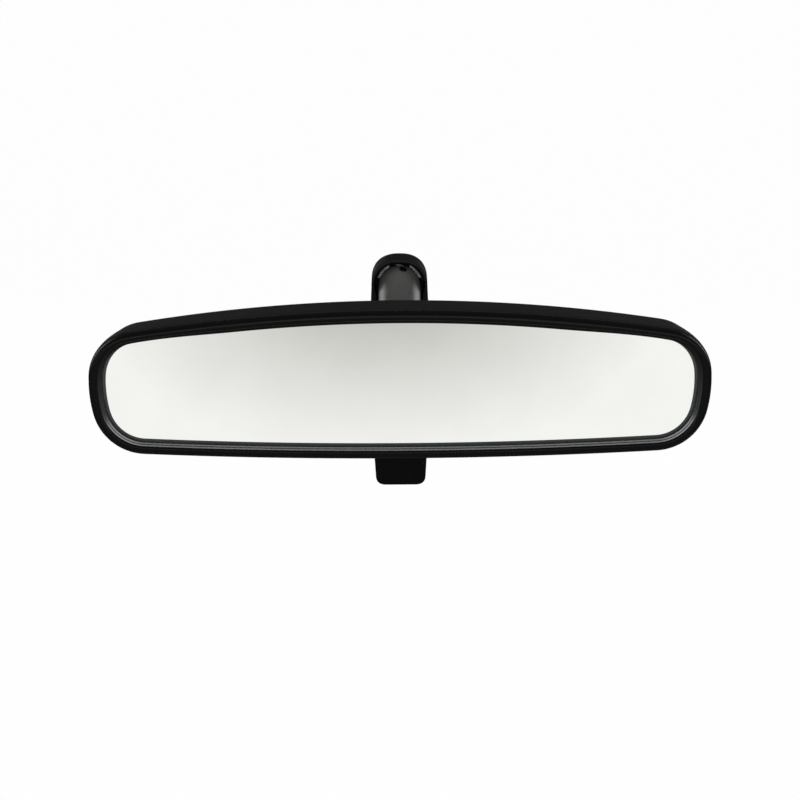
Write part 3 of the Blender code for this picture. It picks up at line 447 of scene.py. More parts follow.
def make_materials(finish):
    """Every finish of the mirror, by name."""
    grain = finish.grain
    MATERIALS.update({
        "case": moulded("grained_case", finish.case_black, 0.60, grain, 0.0001, 0.08),
        "bezel": moulded("satin_bezel", finish.bezel_black, 0.26, 0.4 * grain, 0.00001, 0.045),
        # The lever's deep black, also used as painted shade on the hood's inner wall and the peep hole's
        # bore.
        "lever": moulded("deep_black_lever", finish.lever_black, 0.50, 0.4 * grain, 0.00001, 0.03),
        "bracket": moulded("bracket_moulding", finish.bezel_black, 0.50, grain, 0.00003, 0.30),
        "paint": painted("gloss_arm_paint", finish.paint_black, 0.40, 0.0016, 0.1, 0.6),
        "foot": painted("satin_foot_paint", finish.foot_black, 0.46, 0.0007, 0.0, 0.03),
        # Painted light: the bright grey of the pad behind the upper ball.
        "web": painted("thin_web_paint", finish.painted_light_grey, 0.50, 0.0005, 0.0, 0.3),
        "zinc": metal("zinc_casting", finish.zinc, 0.52, 900.0, 0.22),
        "steel": metal("bright_steel", finish.steel, 0.26, 2400.0, 0.08),
        "nickel": metal("nickel_plate", finish.steel, 0.20, 3200.0, 0.05),
        "silver": silvered("silvered_glass", finish.silver),
        "ground": ground_edge("ground_glass_edge", finish.ground_glass),
        "nylon": nylon_skin("black_nylon", finish.nylon),
        "foam": foam_skin("cell_foam", finish.foam),
    })


def grid_faces(rows, columns, wrap_rows, wrap_columns):
    """Quads of a grid, joined round where it wraps."""
    index = np.arange(rows * columns).reshape(rows, columns)
    if wrap_rows:
        index = np.vstack([index, index[:1]])
    if wrap_columns:
        index = np.hstack([index, index[:, :1]])
    return np.stack([index[:-1, :-1], index[:-1, 1:], index[1:, 1:], index[1:, :-1]], axis=-1).reshape(-1, 4)


def shell(points, wrap_rows=False, wrap_columns=True, caps=True):
    """A surface from a grid of points; open ends of its columns' rings are closed with caps."""
    rows, columns = points.shape[:2]
    faces = grid_faces(rows, columns, wrap_rows, wrap_columns).tolist()
    if caps and not wrap_rows:
        faces.append(list(range(columns)))
        faces.append(list(range((rows - 1) * columns, rows * columns)))
    if caps and not wrap_columns:
        faces.append(list(range(0, rows * columns, columns)))
        faces.append(list(range(columns - 1, rows * columns, columns)))
    return points.reshape(-1, 3), faces


def upright(outline, depth):
    """Points of an outline in x and z, set at depths along y."""
    return np.stack(np.broadcast_arrays(outline[..., 0], depth, outline[..., 1]), axis=-1)


def mesh_of(name, shells):
    """One mesh from closed shells, with doubles merged and faces turned out."""
    corners = np.concatenate([points for points, _ in shells])
    starts = np.cumsum([0] + [len(points) for points, _ in shells])
    faces = [[corner + start for corner in face]
             for start, (_, group) in zip(starts, shells) for face in group]
    made = bpy.data.meshes.new(name)
    made.from_pydata(corners.tolist(), [], faces)
    form = bmesh.new()
    form.from_mesh(made)
    bmesh.ops.remove_doubles(form, verts=form.verts, dist=2e-7)
    bmesh.ops.dissolve_degenerate(form, edges=form.edges, dist=1e-8)
    bmesh.ops.recalc_face_normals(form, faces=form.faces)
    form.to_mesh(made)
    form.free()
    return made


def carved(mesh, cutters, operation="DIFFERENCE"):
    """The mesh with closed shells cut out of it or joined to it."""
    holder = bpy.data.objects.new("blank", mesh)
    bpy.context.scene.collection.objects.link(holder)
    tools = []
    for number, cutter in enumerate(cutters):
        blade = bpy.data.objects.new("blade", mesh_of(f"blade_{number}", [cutter]))
        bpy.context.scene.collection.objects.link(blade)
        step = holder.modifiers.new("carve", "BOOLEAN")
        step.object = blade
        step.operation = operation
        step.solver = "EXACT"
        tools.append(blade)
    view = bpy.context.evaluated_depsgraph_get()
    made = bpy.data.meshes.new_from_object(holder.evaluated_get(view))
    for old in tools + [holder]:
        data = old.data
        bpy.data.objects.remove(old, do_unlink=True)
        bpy.data.meshes.remove(data)
    return made


def settle(mesh, name, body, nodes, materials, sharp=35.0):
    """Make the mesh a piece that rides on a body and stands for its CAD nodes."""
    mesh.name = name
    mesh.materials.clear()
    for key in materials:
        mesh.materials.append(MATERIALS[key])
    mesh.shade_smooth()
    mesh.set_sharp_from_angle(angle=math.radians(sharp))
    piece = bpy.data.objects.new(name, mesh)
    bpy.context.scene.collection.objects.link(piece)
    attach(piece, body)
    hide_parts(*nodes)
    return piece


def per_face(mesh, what):
    """A vector of every face, such as its center or its normal."""
    found = np.empty(len(mesh.polygons) * 3)
    mesh.polygons.foreach_get(what, found)
    return found.reshape(-1, 3)


def paint_faces(piece, numbers):
    """Give every face the material with its number."""
    piece.data.polygons.foreach_set("material_index", numbers.astype(np.int32))


def dress(node, key):
    """A CAD node that keeps its shape gets a finished material."""
    item = frame["nodes"][node]
    item.data.materials.clear()
    item.data.materials.append(MATERIALS[key])


def rounded(corners, steps=5):
    """A closed path of (x, y, radius) corners, each eased by a quadratic curve.

    The curve starts and ends where a circle of that radius would touch, r / tan(half angle) away.
    """
    spots = np.array([corner[:2] for corner in corners], dtype=float)
    radii = np.array([corner[2] for corner in corners], dtype=float)
    before = np.roll(spots, 1, axis=0) - spots
    after = np.roll(spots, -1, axis=0) - spots
    size_before = np.linalg.norm(before, axis=1, keepdims=True)
    size_after = np.linalg.norm(after, axis=1, keepdims=True)
    one = before / size_before
    two = after / size_after
    half = np.arccos(np.clip((one * two).sum(axis=1), -1.0, 1.0)) / 2
    room = 0.49 * np.minimum(size_before, size_after)[:, 0]
    trim = np.minimum(radii / np.tan(np.maximum(half, 1e-4)), room)
    t = np.linspace(0.0, 1.0, steps)[None, :, None]
    start = (spots + one * trim[:, None])[:, None]
    stop = (spots + two * trim[:, None])[:, None]
    middle = spots[:, None]
    curve = (1 - t) ** 2 * start + 2 * t * (1 - t) * middle + t ** 2 * stop
    return curve.reshape(-1, 2)


def turned(profile, origin, axis, steps=64, closed=False):
    """Profile points (radius r, height h) turned about an axis: origin + r cos a X + r sin a Y + h Z."""
    axis = np.asarray(axis, dtype=float)
    other = np.cross(axis, ACROSS)
    turn = np.linspace(0.0, FULL_TURN, steps, endpoint=False)
    ring = np.cos(turn)[:, None] * ACROSS + np.sin(turn)[:, None] * other
    profile = np.asarray(profile, dtype=float)
    points = origin + profile[:, None, :1] * ring[None] + profile[:, None, 1:] * axis
    return shell(points, wrap_rows=closed, caps=not closed)


def rod(radius, low, high, origin, axis, edge, steps=48):
    """A round bar with softened ends."""
    return turned([(radius - edge, high), (radius - 0.3 * edge, high - 0.3 * edge), (radius, high - edge),
                   (radius, low + edge), (radius - 0.3 * edge, low + 0.3 * edge), (radius - edge, low)],
                  origin, axis, steps)


def circle_arc(radius, start, stop, steps):
    """Profile points on a sphere about the origin; angles are measured from the axis."""
    turn = np.linspace(start, stop, steps)
    return np.stack([radius * np.sin(turn), radius * np.cos(turn)], axis=1)


def around(radius, turn, centre=(0.0, 0.0)):
    """Points on a circle in a plane, at angles from its first axis."""
    return np.stack([centre[0] + radius * np.cos(turn), centre[1] + radius * np.sin(turn)], axis=1)


def smooth_step(value):
    """3 t^2 - 2 t^3, held at 0 and 1."""
    t = np.clip(value, 0.0, 1.0)
    return t * t * (3.0 - 2.0 * t)


def face_rings(sizes, inset, ends, depth, crown=1.0, sill=1.0, ease=0.0, steps=(26, 18, 8)):
    """Rings of the mirror outline, one for each inset, end inset and depth.

    Each quarter is three arcs that meet without a kink. The side's arc has radius s about
    (half - s, 0), the corner's arc has radius c about (x, z) = (half - s + (s - c) cos w, (s - c) sin w),
    and the crown or sill is an arc about the middle line with radius
    (x^2 + (h - z)^2 - c^2) / (2 (h - z - c)). An inset makes every arc smaller about its own centre,
    and the end inset then squeezes the ring sideways. Crown and sill take only a share
    of the inset, and the crown's share falls by the ease towards the upper corners.
    """
    inset = np.asarray(inset, dtype=float)[:, None]
    ends = np.asarray(ends, dtype=float)[:, None]
    depth = np.asarray(depth, dtype=float)
    rise = sizes.rise_share * FACE_HEIGHT
    fall = FACE_HEIGHT - rise
    ease_start, ease_run = 0.52 * HALF_FACE, 0.32 * HALF_FACE

    def quarter(height, corner, side, sweep):
        x = HALF_FACE - side + (side - corner) * math.cos(sweep)
        z = (side - corner) * math.sin(sweep)
        radius = (x ** 2 + (height - z) ** 2 - corner ** 2) / (2 * (height - z - corner))
        reach = math.acos(x / (radius - corner))
        arcs = [(0.0, height - radius, radius, np.linspace(math.pi / 2, reach, steps[0])),
                (x, z, corner, np.linspace(reach, sweep, steps[1])[1:]),
                (HALF_FACE - side, 0.0, side, np.linspace(sweep, 0.0, steps[2])[1:])]
        across = np.hstack([at + (size - inset) * np.cos(turn)[None] for at, _, size, turn in arcs])
        up = np.hstack([at + (size - inset) * np.sin(turn)[None] for _, at, size, turn in arcs])
        return across * (HALF_FACE - ends) / (HALF_FACE - inset), up

    top_x, top_z = quarter(rise, sizes.upper_corner, sizes.upper_side, sizes.upper_sweep)
    low_x, low_z = quarter(fall, sizes.lower_corner, sizes.lower_side, sizes.lower_sweep)
    crown = crown - ease * smooth_step((top_x - ease_start) / ease_run)
    top_z = top_z * (rise - crown * inset) / (rise - inset)
    low_z = low_z * (fall - sill * inset) / (fall - inset)
    x = np.hstack([top_x, low_x[:, -2::-1]])
    z = np.hstack([top_z, -low_z[:, -2::-1]])
    x = np.hstack([x, -x[:, -2:0:-1]])
    z = np.hstack([z, z[:, -2:0:-1]])
    y = np.broadcast_to(BEZEL_LOW[1] + depth[:, None], x.shape)
    return np.stack([x, y, BEZEL_HIGH[2] - rise + z], axis=-1)


class MIRROR_OT_bezel(bpy.types.Operator):
    """Build the bezel: a round bead, two small ledges and a skirt, carried round the outline"""
    bl_idname = "mirror.bezel"
    bl_label = "Front bezel"

    def execute(self, context):
        """A rounded section carried round the outline."""
        sizes = context.scene.mirror_head
        bead, reach, deep, back = sizes.bead_width, sizes.lip_reach, sizes.lip_depth, sizes.bezel_depth
        rear_round, tail_round = 0.0004, 0.0003
        ledge = (reach - bead) / 2
        pocket = reach - LIP_OVERLAP - CLEARANCE
        skirt = sizes.case_wall - sizes.case_proud + CLEARANCE
        tail = back + sizes.skirt
        section = rounded([
            (0.0, back, rear_round), (0.0, 0.0, 0.47 * bead), (0.96 * bead, 0.0, 0.36 * bead),
            (bead, 0.44 * deep, CRISP), (bead + ledge, 0.49 * deep, CRISP),
            (bead + ledge, 0.76 * deep, CRISP), (reach, 0.81 * deep, CRISP), (reach, deep, CRISP),
            (pocket, deep, CRISP), (pocket, tail, tail_round), (skirt, tail, tail_round),
            (skirt, back, CRISP),
        ])
        grid = face_rings(sizes, section[:, 0], section[:, 0], section[:, 1], sizes.crown_share,
                          sizes.sill_share, sizes.corner_ease)
        mesh = mesh_of("bezel", [shell(grid, wrap_rows=True)])
        if len(mesh.vertices) != grid.shape[0] * grid.shape[1]:
            raise RuntimeError("the bezel's section folds on itself")
        ledge_rows = (section[:, 0] > bead - 1e-6) & (section[:, 1] < 0.95 * deep)
        middle = (BEZEL_LOW[2] + BEZEL_HIGH[2]) / 2
        polish = ledge_rows[:, None] * smooth_step(0.45 + 1.2 * (middle - grid[..., 2]) / FACE_HEIGHT)
        mesh.attributes.new("polish", "FLOAT", "POINT").data.foreach_set("value", polish.ravel())
        settle(mesh, "bezel_bead", "head", ["front_bezel"], ["bezel"], 50.0)
        return {"FINISHED"}


class MIRROR_OT_case(bpy.types.Operator):
    """Build the grained case: a lofted shell with a collar, a stud opening and a lever slot"""
    bl_idname = "mirror.case"
    bl_label = "Rear case"

    def skin(self, sizes, wall):
        """Insets, end insets and depths of one skin, front to back: a straight wall, then a quarter round."""
        collar_rise, lip_inset, lip_depth, crown = 0.0017, 0.00065, 0.0008, 0.0005
        start = sizes.bezel_depth + CLEARANCE
        depth = CASE_BACK - BEZEL_LOW[1] - collar_rise
        edge = depth - sizes.case_rounding
        out = wall - sizes.case_proud
        lip = np.linspace(0.0, 1.0, 6)
        if wall == 0.0:
            lip_in = out + lip_inset * (1 - np.sin(lip * math.pi / 2))
            lip_at = start + lip_depth * (1 - np.cos(lip * math.pi / 2))
        else:
            lip_in = out + 0.0 * lip
            lip_at = start + lip_depth * lip
        straight = np.linspace(0.0, 1.0, 12)[1:]
        lean = sizes.end_draft * smooth_step(straight * 0.5) * 2.0
        turn = np.linspace(0.0, math.pi / 2, 20)[1:]
        round_r = sizes.case_rounding - wall
        drop = round_r * (1 - np.cos(turn))
        inset = np.concatenate([lip_in, out + 0.0 * straight, out + drop, [1.7 * sizes.case_rounding]])
        ends = np.concatenate([lip_in, out + lean, out + sizes.end_draft + 1.3 * drop,
                               [2.6 * sizes.case_rounding]])
        at = np.concatenate([lip_at, start + lip_depth + (edge - start - lip_depth) * straight,
                             edge + round_r * np.sin(turn), [depth - wall + crown]])
        return inset, ends, at

    def execute(self, context):
        """Outer skin and inner skin in one closed shell, then the openings."""
        sizes = context.scene.mirror_head
        arm = context.scene.mirror_arm
        inner = face_rings(sizes, *(line[::-1] for line in self.skin(sizes, sizes.case_wall)))
        outer = face_rings(sizes, *self.skin(sizes, 0.0))
        mesh = mesh_of("case", [shell(np.concatenate([inner, outer]))])
        sunk, collar_depth, collar_edge, hole_overrun = 0.0012, 0.0041, 0.0006, 0.0096
        reach = (LOWER_BALL[1] - CASE_BACK + sunk) / ARM_AXIS[1]
        middle = np.array([0.0, 0.0, LOWER_BALL[2] - reach * ARM_AXIS[2]])
        plug = rod(sizes.collar, CASE_BACK - collar_depth, CASE_BACK, middle, TO_WINDSHIELD, collar_edge, 96)
        mesh = carved(mesh, [plug], "UNION")
        hole = rod(sizes.opening, 0.0, reach + hole_overrun, LOWER_BALL, -ARM_AXIS, CRISP, 96)
        side_gap, swing_gap, slot_corner, slot_overrun, slot_top = 0.0006, 0.0011, 0.0012, 0.004, 0.0013
        wide = (LEVER_HIGH[0] - LEVER_LOW[0]) / 2 + side_gap
        fall = LEVER_PIVOT[2] - BEZEL_LOW[2]
        swing = fall * math.tan(arm.lever_lean) + 0.6 * arm.tab_thickness + swing_gap
        path = rounded([(-wide, -swing, slot_corner), (wide, -swing, slot_corner), (wide, swing, slot_corner),
                        (-wide, swing, slot_corner)], 7)
        levels = np.array([BEZEL_LOW[2] - slot_overrun, LEVER_PIVOT[2] - slot_top])
        slot = shell(np.stack(np.broadcast_arrays(path[:, 0], path[:, 1] + LEVER_PIVOT[1], levels[:, None]),
                              axis=-1))
        mesh = carved(mesh, [hole, slot])
        settle(mesh, "case_shell", "head", ["rear_case"], ["case"], 38.0)
        return {"FINISHED"}


class MIRROR_OT_glass(bpy.types.Operator):
    """Build the mirror glass: a flat silvered face, a ground bevel and a wedge behind"""
    bl_idname = "mirror.glass"
    bl_label = "Mirror glass"

    def execute(self, context):
        """Rings of the outline from the face over the bevel to the back."""
        sizes = context.scene.mirror_head
        low, high = (np.array(corner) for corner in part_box("prism_glass"))
        shoulder_depth, edge_depth, thin_side, wedge = 0.00044, 0.0006, 0.003, 0.0025
        edge = sizes.lip_reach - LIP_OVERLAP
        front = float(low[1] - BEZEL_LOW[1])
        bevel = sizes.glass_bevel
        inset = np.array([edge + bevel, edge + 0.12 * bevel, edge, edge])
        depth = np.array([front, front + shoulder_depth, front + edge_depth, front])
        crown = np.array([[sizes.bevel_share]] + 3 * [[sizes.crown_share]])
        grid = face_rings(sizes, inset, inset, depth, crown, sizes.sill_share, sizes.corner_ease)
        rise = (grid[-1, :, 2] - low[2]) / (high[2] - low[2])
        grid[-1, :, 1] += thin_side + wedge * rise
        mesh = mesh_of("glass", [shell(grid)])
        piece = settle(mesh, "mirror_pane", "head", ["prism_glass"], ["silver", "ground"],
                       4.0)
        flat_limit = -0.999
        paint_faces(piece, per_face(mesh, "normal")[:, 1] > flat_limit)
        dress("glass_pad", "foam")
        return {"FINISHED"}


class MIRROR_OT_lever(bpy.types.Operator):
    """Build the day and night lever: a soft edged tab, two hubs and a crank"""
    bl_idname = "mirror.lever"
    bl_label = "Day and night lever"

    def execute(self, context):
        """The tab is one outline carried through its thickness, pulled in by a quarter round at each face."""
        sizes = context.scene.mirror_arm
        lean = sizes.lever_lean
        half = float(LEVER_HIGH[0] - LEVER_LOW[0]) / 2
        thick = sizes.tab_thickness / 2
        drop = float(LEVER_PIVOT[2] - LEVER_LOW[2] - thick * math.sin(lean)) / math.cos(lean)
        soft, root_corner = 0.0008, 0.0005
        turn = np.linspace(0.0, math.pi / 2, 7)
        pull = np.concatenate([soft * (1 - np.sin(turn)), soft * (1 - np.sin(turn[::-1]))])
        through = np.concatenate([-thick + soft * (1 - np.cos(turn)),
                                  thick - soft * (1 - np.cos(turn[::-1]))])
        rings = np.stack([rounded([
            (-half + inset, -sizes.hub / 2 - inset, root_corner),
            (half - inset, -sizes.hub / 2 - inset, root_corner),
            (half - sizes.tab_taper - inset, -drop + inset, sizes.tab_corner - 0.5 * inset),
            (-half + sizes.tab_taper + inset, -drop + inset, sizes.tab_corner - 0.5 * inset),
        ], 12) for inset in pull])
        shells = [shell(upright(rings, through[:, None]))]
        crank_end, cheek_inner, cheek_edge, pin, pin_half = 0.0026, 0.0051, 0.0002, 0.0015, 0.006
        reach = (float(LEVER_HIGH[2] - LEVER_PIVOT[2]) - crank_end) / math.cos(lean)
        side = math.asin((sizes.hub - crank_end) / reach)
        upper = np.linspace(side, math.pi - side, 16)
        lower = np.linspace(math.pi - side, FULL_TURN - 2 * lean, 26)[:-1]
        flats = np.array([-2 * lean, 0.0, 2 * lean])
        path = np.concatenate([around(crank_end, upper, (0.0, reach)), around(sizes.hub, lower),
                               around(sizes.hub, flats)])
        cheek_inset = 0.00005
        outer = half - cheek_inset
        for low, high in ((-outer, -cheek_inner), (cheek_inner, outer)):
            at = np.array([low, low + cheek_edge, high - cheek_edge, high])[:, None]
            grow = np.array([0.96, 1.0, 1.0, 0.96])[:, None]
            shells.append(shell(np.stack(np.broadcast_arrays(
                at, grow * path[:, 0], reach / 2 + grow * (path[:, 1] - reach / 2)), axis=-1)))
        shells.append(rod(pin, -pin_half, pin_half, np.array([0.0, 0.0, reach]), ACROSS, CRISP, 32))
        c, s = math.cos(lean), math.sin(lean)
        tilt = np.array([[1.0, 0.0, 0.0], [0.0, c, -s], [0.0, s, c]])
        shells = [(points @ tilt.T + LEVER_PIVOT, faces) for points, faces in shells]
        mesh = mesh_of("lever", shells)
        settle(mesh, "lever_tab", "lever", ["day_night_lever"], ["lever"], 40.0)
        return {"FINISHED"}


class MIRROR_OT_arm(bpy.types.Operator):
    """Build the arm: a painted tube swaged to a sphere at each end, with its balls and liners"""
    bl_idname = "mirror.arm"
    bl_label = "Ball arm"

    def execute(self, context):
        """Profiles of arcs and lines turned about the arm's axis.

        The tube's swaged ends are half spheres that draw in by a share of (h / r)^2 towards their mouths.
        """
        sizes = context.scene.mirror_arm
        outer, inner = TUBE_RADIUS, TUBE_RADIUS - sizes.tube_wall
        mouth = sizes.tube_mouth
        lip = sizes.lip_round / outer
        dome = circle_arc(outer, mouth + lip, math.pi / 2, 22)
        cup = circle_arc(inner, mouth + lip, math.pi / 2, 14)
        half = np.concatenate([circle_arc(inner + 0.3 * sizes.tube_wall, mouth, mouth, 1),
                               circle_arc(outer - 0.3 * sizes.tube_wall, mouth, mouth, 1), dome])
        half[1:, 0] *= 1.0 - sizes.dome_slim * (half[1:, 1] / outer) ** 2
        far = half[::-1] * np.array([1.0, -1.0]) - np.array([0.0, ARM_LENGTH])
        back = cup[::-1] * np.array([1.0, -1.0]) - np.array([0.0, ARM_LENGTH])
        profile = np.concatenate([half, far, back[::-1], cup[::-1]])
        tube = mesh_of("tube", [turned(profile, UPPER_BALL, ARM_AXIS, 96, True)])
        turn, lift = sizes.peep_turn, sizes.peep_lift
        overrun, shaded_bore_band = 0.001, 0.00006
        up = np.cross(ACROSS, ARM_AXIS)
        up = up if up[2] > 0 else -up
        way = math.cos(lift) * (math.sin(turn) * ACROSS + math.cos(turn) * up)
        way = way + math.sin(lift) * ARM_AXIS
        spin = Vector(way).to_track_quat("Z", "Y").to_matrix()
        points, faces = rod(sizes.peep, inner - overrun, outer + overrun, np.zeros(3), (0.0, 0.0, 1.0), CRISP,
                            40)
        drill = (points @ np.array(spin).T + UPPER_BALL, faces)
        tube = carved(tube, [drill])
        piece = settle(tube, "arm_sleeve", "arm", ["arm_tube"], ["paint", "lever"], 40.0)
        off = per_face(tube, "center") - UPPER_BALL
        across = np.linalg.norm(off - (off @ way)[:, None] * way, axis=1)
        # The bore's wall faces get the lever's deep black: painted shade inside the peep hole.
        paint_faces(piece, (np.abs(across - sizes.peep) < shaded_bore_band) & (off @ way > 0))
        for end, centre, axis, body in (("upper", UPPER_BALL, ARM_AXIS, "foot"),
                                        ("lower", LOWER_BALL, -ARM_AXIS, "bracket")):
            self.stud(end, centre, axis, body)
            self.liner(end, centre, axis)
        for node in ("upper_spring_seat", "lower_spring_seat"):
            dress(node, "nylon")
        dress("arm_spring", "steel")
        return {"FINISHED"}

    def stud(self, end, centre, axis, body):
        """Ball, neck, flange and shank in one profile."""
        node = end + "_ball_stud"
        points = np.array([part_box(node)[0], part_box(node)[1]])
        inside, tip_edge, soft, fillet = 0.0016, 0.0006, 0.0002, 0.0003
        tail = float(np.max((points - centre) @ np.array([0.0, 1.0 / axis[1], 0.0]))) - inside
        shank, flange, start = SHANK_RADIUS, FLANGE_RADIUS, FLANGE_START
        top = start + FLANGE_THICKNESS
        ball = circle_arc(BALL_RADIUS, math.asin(shank / BALL_RADIUS), math.pi - 1e-4, 30)
        profile = [(0.2 * shank, tail), (0.8 * shank, tail), (shank, tail - tip_edge), (shank, top),
                   (flange - soft, top), (flange, top - soft), (flange, start + soft),
                   (flange - soft, start), (shank + fillet, start), (shank, start - fillet)]
        mesh = mesh_of(node, [turned(np.concatenate([profile, ball]), centre, axis, 64)])
        settle(mesh, end + "_ball", body, [node], ["steel"], 40.0)

    def liner(self, end, centre, axis):
        """A zone of a sphere with a wall."""
        node = end + "_ball_liner"
        play, wall, rim = 0.00025, 0.00105, 0.02
        low = BALL_RADIUS + play
        high = low + wall
        first, last = math.radians(54.0), math.radians(92.0)
        profile = np.concatenate([circle_arc(high, first + rim, last, 14),
                                  circle_arc(low, last, first + rim, 14),
                                  circle_arc(0.5 * (low + high), first, first, 1)])
        mesh = mesh_of(node, [turned(profile, centre, axis, 64, True)])
        settle(mesh, end + "_liner", end + "_liner", [node], ["nylon"], 40.0)


def keystone(grow, crown, bottom, closed):
    """Button outline: a round end up, straight sides, and at the bottom round corners or open ends."""
    least_corner = 0.0005
    half = float(BUTTON_HIGH[0] - BUTTON_LOW[0]) / 2
    radius = (half ** 2 + crown ** 2) / (2 * crown)
    wide = half + grow
    turn = math.asin(wide / (radius + grow)) * np.linspace(1.0, -1.0, 40)
    arch = np.stack([(radius + grow) * np.sin(turn),
                     BUTTON_HIGH[2] - radius + (radius + grow) * np.cos(turn)], axis=1)
    if not closed:
        return np.concatenate([[(wide, bottom)], arch, [(-wide, bottom)]])
    corner = max(BUTTON_CORNER + grow, least_corner)
    turn = np.linspace(math.pi, 1.5 * math.pi, 9)
    left = around(corner, turn, (corner - wide, bottom - grow + corner))
    right = left[::-1] * np.array([-1.0, 1.0])
    return np.concatenate([arch, left, right])


class MIRROR_OT_foot(bpy.types.Operator):
    """Build the foot: an arched hood in front, a dovetail channel behind, bosses between"""
    bl_idname = "mirror.foot"
    bl_label = "Windshield foot"

    def arch(self, sizes, radius, legs=22):
        """The arch at a radius: |x|^n + |z / rise|^n = r^n above the ball, and flared legs below it."""
        bottom = float(FOOT_LOW[2])
        turn = np.linspace(0.0, math.pi, 90)
        exponent = 2.0 / sizes.hood_fullness
        x = radius * np.sign(np.cos(turn)) * np.abs(np.cos(turn)) ** exponent
        z = UPPER_BALL[2] + sizes.hood_rise * radius * np.abs(np.sin(turn)) ** exponent
        down = np.linspace(bottom, UPPER_BALL[2], legs)[:-1]
        lean = radius + (UPPER_BALL[2] - down) * math.tan(sizes.hood_flare)
        return np.stack([np.concatenate([lean, x, -lean[::-1]]),
                         np.concatenate([down, z, down[::-1]])], axis=1)

    def hood(self, sizes):
        """The wall's section, a loop from the rear over the rim and back inside, carried along the arch.

        Below the rim the front edge goes back along a straight slope, front + max(slope * drop - wall, 0),
        and beside the ball the legs get thicker on their inner side.
        """
        inner = TUBE_RADIUS + sizes.hood_gap
        wall = sizes.hood_wall
        soft = sizes.hood_round
        leg_start, leg_run, toe = 0.0012, 0.006, 0.0016
        rear = CHANNEL_FLOOR - 0.25 * sizes.web
        front = float(FOOT_LOW[1])
        section = rounded([(inner, rear, CRISP), (inner + wall, rear, soft), (inner + wall, front, soft),
                           (inner, front, soft)], 8)
        flat = np.stack([self.arch(sizes, radius) for radius in section[:, 0]])
        within = (inner + wall - section[:, 0])[:, None] / wall
        low_part = smooth_step((UPPER_BALL[2] + leg_start - flat[..., 1]) / leg_run)
        flat[..., 0] -= np.sign(flat[..., 0]) * sizes.leg_growth * within * low_part
        low = float(FOOT_LOW[2]) - toe
        start = UPPER_BALL[2] + sizes.rim_drop
        shoulder = CHANNEL_FLOOR - sizes.web - SCREW_BOSS_RISE
        slope = (shoulder - front + wall) / (start - low)
        drop = start - flat[..., 1]
        edge = front + np.maximum(slope * drop - wall, 0.0)
        part = (section[:, 1] - rear)[:, None] / (front - rear)
        y = rear + part * (edge - rear)
        return shell(upright(flat, y), wrap_rows=True, wrap_columns=False)

    def execute(self, context):
        """Hood, web, channel walls, bosses and a thin pad behind the ball, as closed shells of one piece; the
        pad's face gets a bright grey as painted light, and the hood's inner wall a deep black as painted
        shade.
        """
        sizes = context.scene.mirror_arm
        bottom = float(FOOT_LOW[2])
        floor = CHANNEL_FLOOR
        web = floor - sizes.web
        back = float(FOOT_HIGH[1])
        lap, floor_lap, web_lap, seam = 0.0002, -0.002, 0.0012, 0.0001
        channel_round, mouth_round, undercut_start = 0.0010, 0.0003, -0.0042
        arch = self.arch(sizes, TUBE_RADIUS + sizes.hood_gap + 0.5 * sizes.hood_wall)
        shells = [self.hood(sizes), shell(upright(arch, np.array([[floor - web_lap], [web]])))]
        grow = sizes.channel_wall
        section = rounded([(grow, web + lap, lap), (grow, back, channel_round),
                           (CLEARANCE - sizes.button_bevel, back, mouth_round),
                           (CLEARANCE, undercut_start, lap),
                           (CLEARANCE, floor, lap), (floor_lap, floor, CRISP),
                           (floor_lap, web + lap, CRISP)], 5)
        band = np.stack([keystone(offset, sizes.button_crown, bottom, False) for offset in section[:, 0]])
        shells.append(shell(upright(band, section[:, 1:]), wrap_rows=True, wrap_columns=False))
        plug = keystone(seam, sizes.button_crown, bottom, False)
        shells.append(shell(upright(plug, np.array([[floor], [web + seam]]))))
        stud_boss, stud_boss_rise, stud_boss_edge = 0.0046, 0.0018, 0.0004
        screw_boss, screw_boss_edge, root = 0.0055, 0.0005, 0.001
        seat = FLANGE_START + FLANGE_THICKNESS + CLEARANCE
        shells.append(rod(stud_boss, seat, seat + stud_boss_rise, UPPER_BALL, ARM_AXIS, stud_boss_edge))
        # A thin pad behind the ball; its face carries the painted light.
        pad_sweep, pad_drop, pad_rise = 1.2, 0.0025, 0.0002
        pad = circle_arc(sizes.painted_light_pad_radius, -pad_sweep, pad_sweep, 64)
        pad = pad + np.array([0.0, UPPER_BALL[2] - pad_drop])
        shells.append(shell(upright(pad, np.array([[web + root], [web - pad_rise]]))))
        shells.append(rod(screw_boss, web - SCREW_BOSS_RISE, web + root, np.array([0.0, 0.0, SCREW_HEIGHT]),
                          TO_WINDSHIELD, screw_boss_edge))
        mesh = mesh_of("foot", shells)
        piece = settle(mesh, "hooded_foot", "foot", ["mount_foot"], ["foot", "web", "lever"],
                       42.0)
        # The hood's inward-facing faces get the lever's deep black: painted shade on the inner wall.
        inward_limit, level_band = -0.85, 0.00005
        spots, ways = per_face(mesh, "center"), per_face(mesh, "normal")
        out = (spots - UPPER_BALL)[:, (0, 2)]
        out[:, 1] = np.maximum(out[:, 1], 0.0)
        inward = np.sum(out * ways[:, (0, 2)], axis=1) < inward_limit * np.linalg.norm(out, axis=1)
        shaded_inner_wall = inward & (spots[:, 1] < web)
        # The pad's front faces get the bright grey: painted light for the light that falls into the hood.
        face = np.abs(spots[:, 1] - web + pad_rise) < level_band
        paint_faces(piece, np.where(shaded_inner_wall, 2, np.where(face, 1, 0)))
        self.button(sizes)
        self.screw()
        return {"FINISHED"}

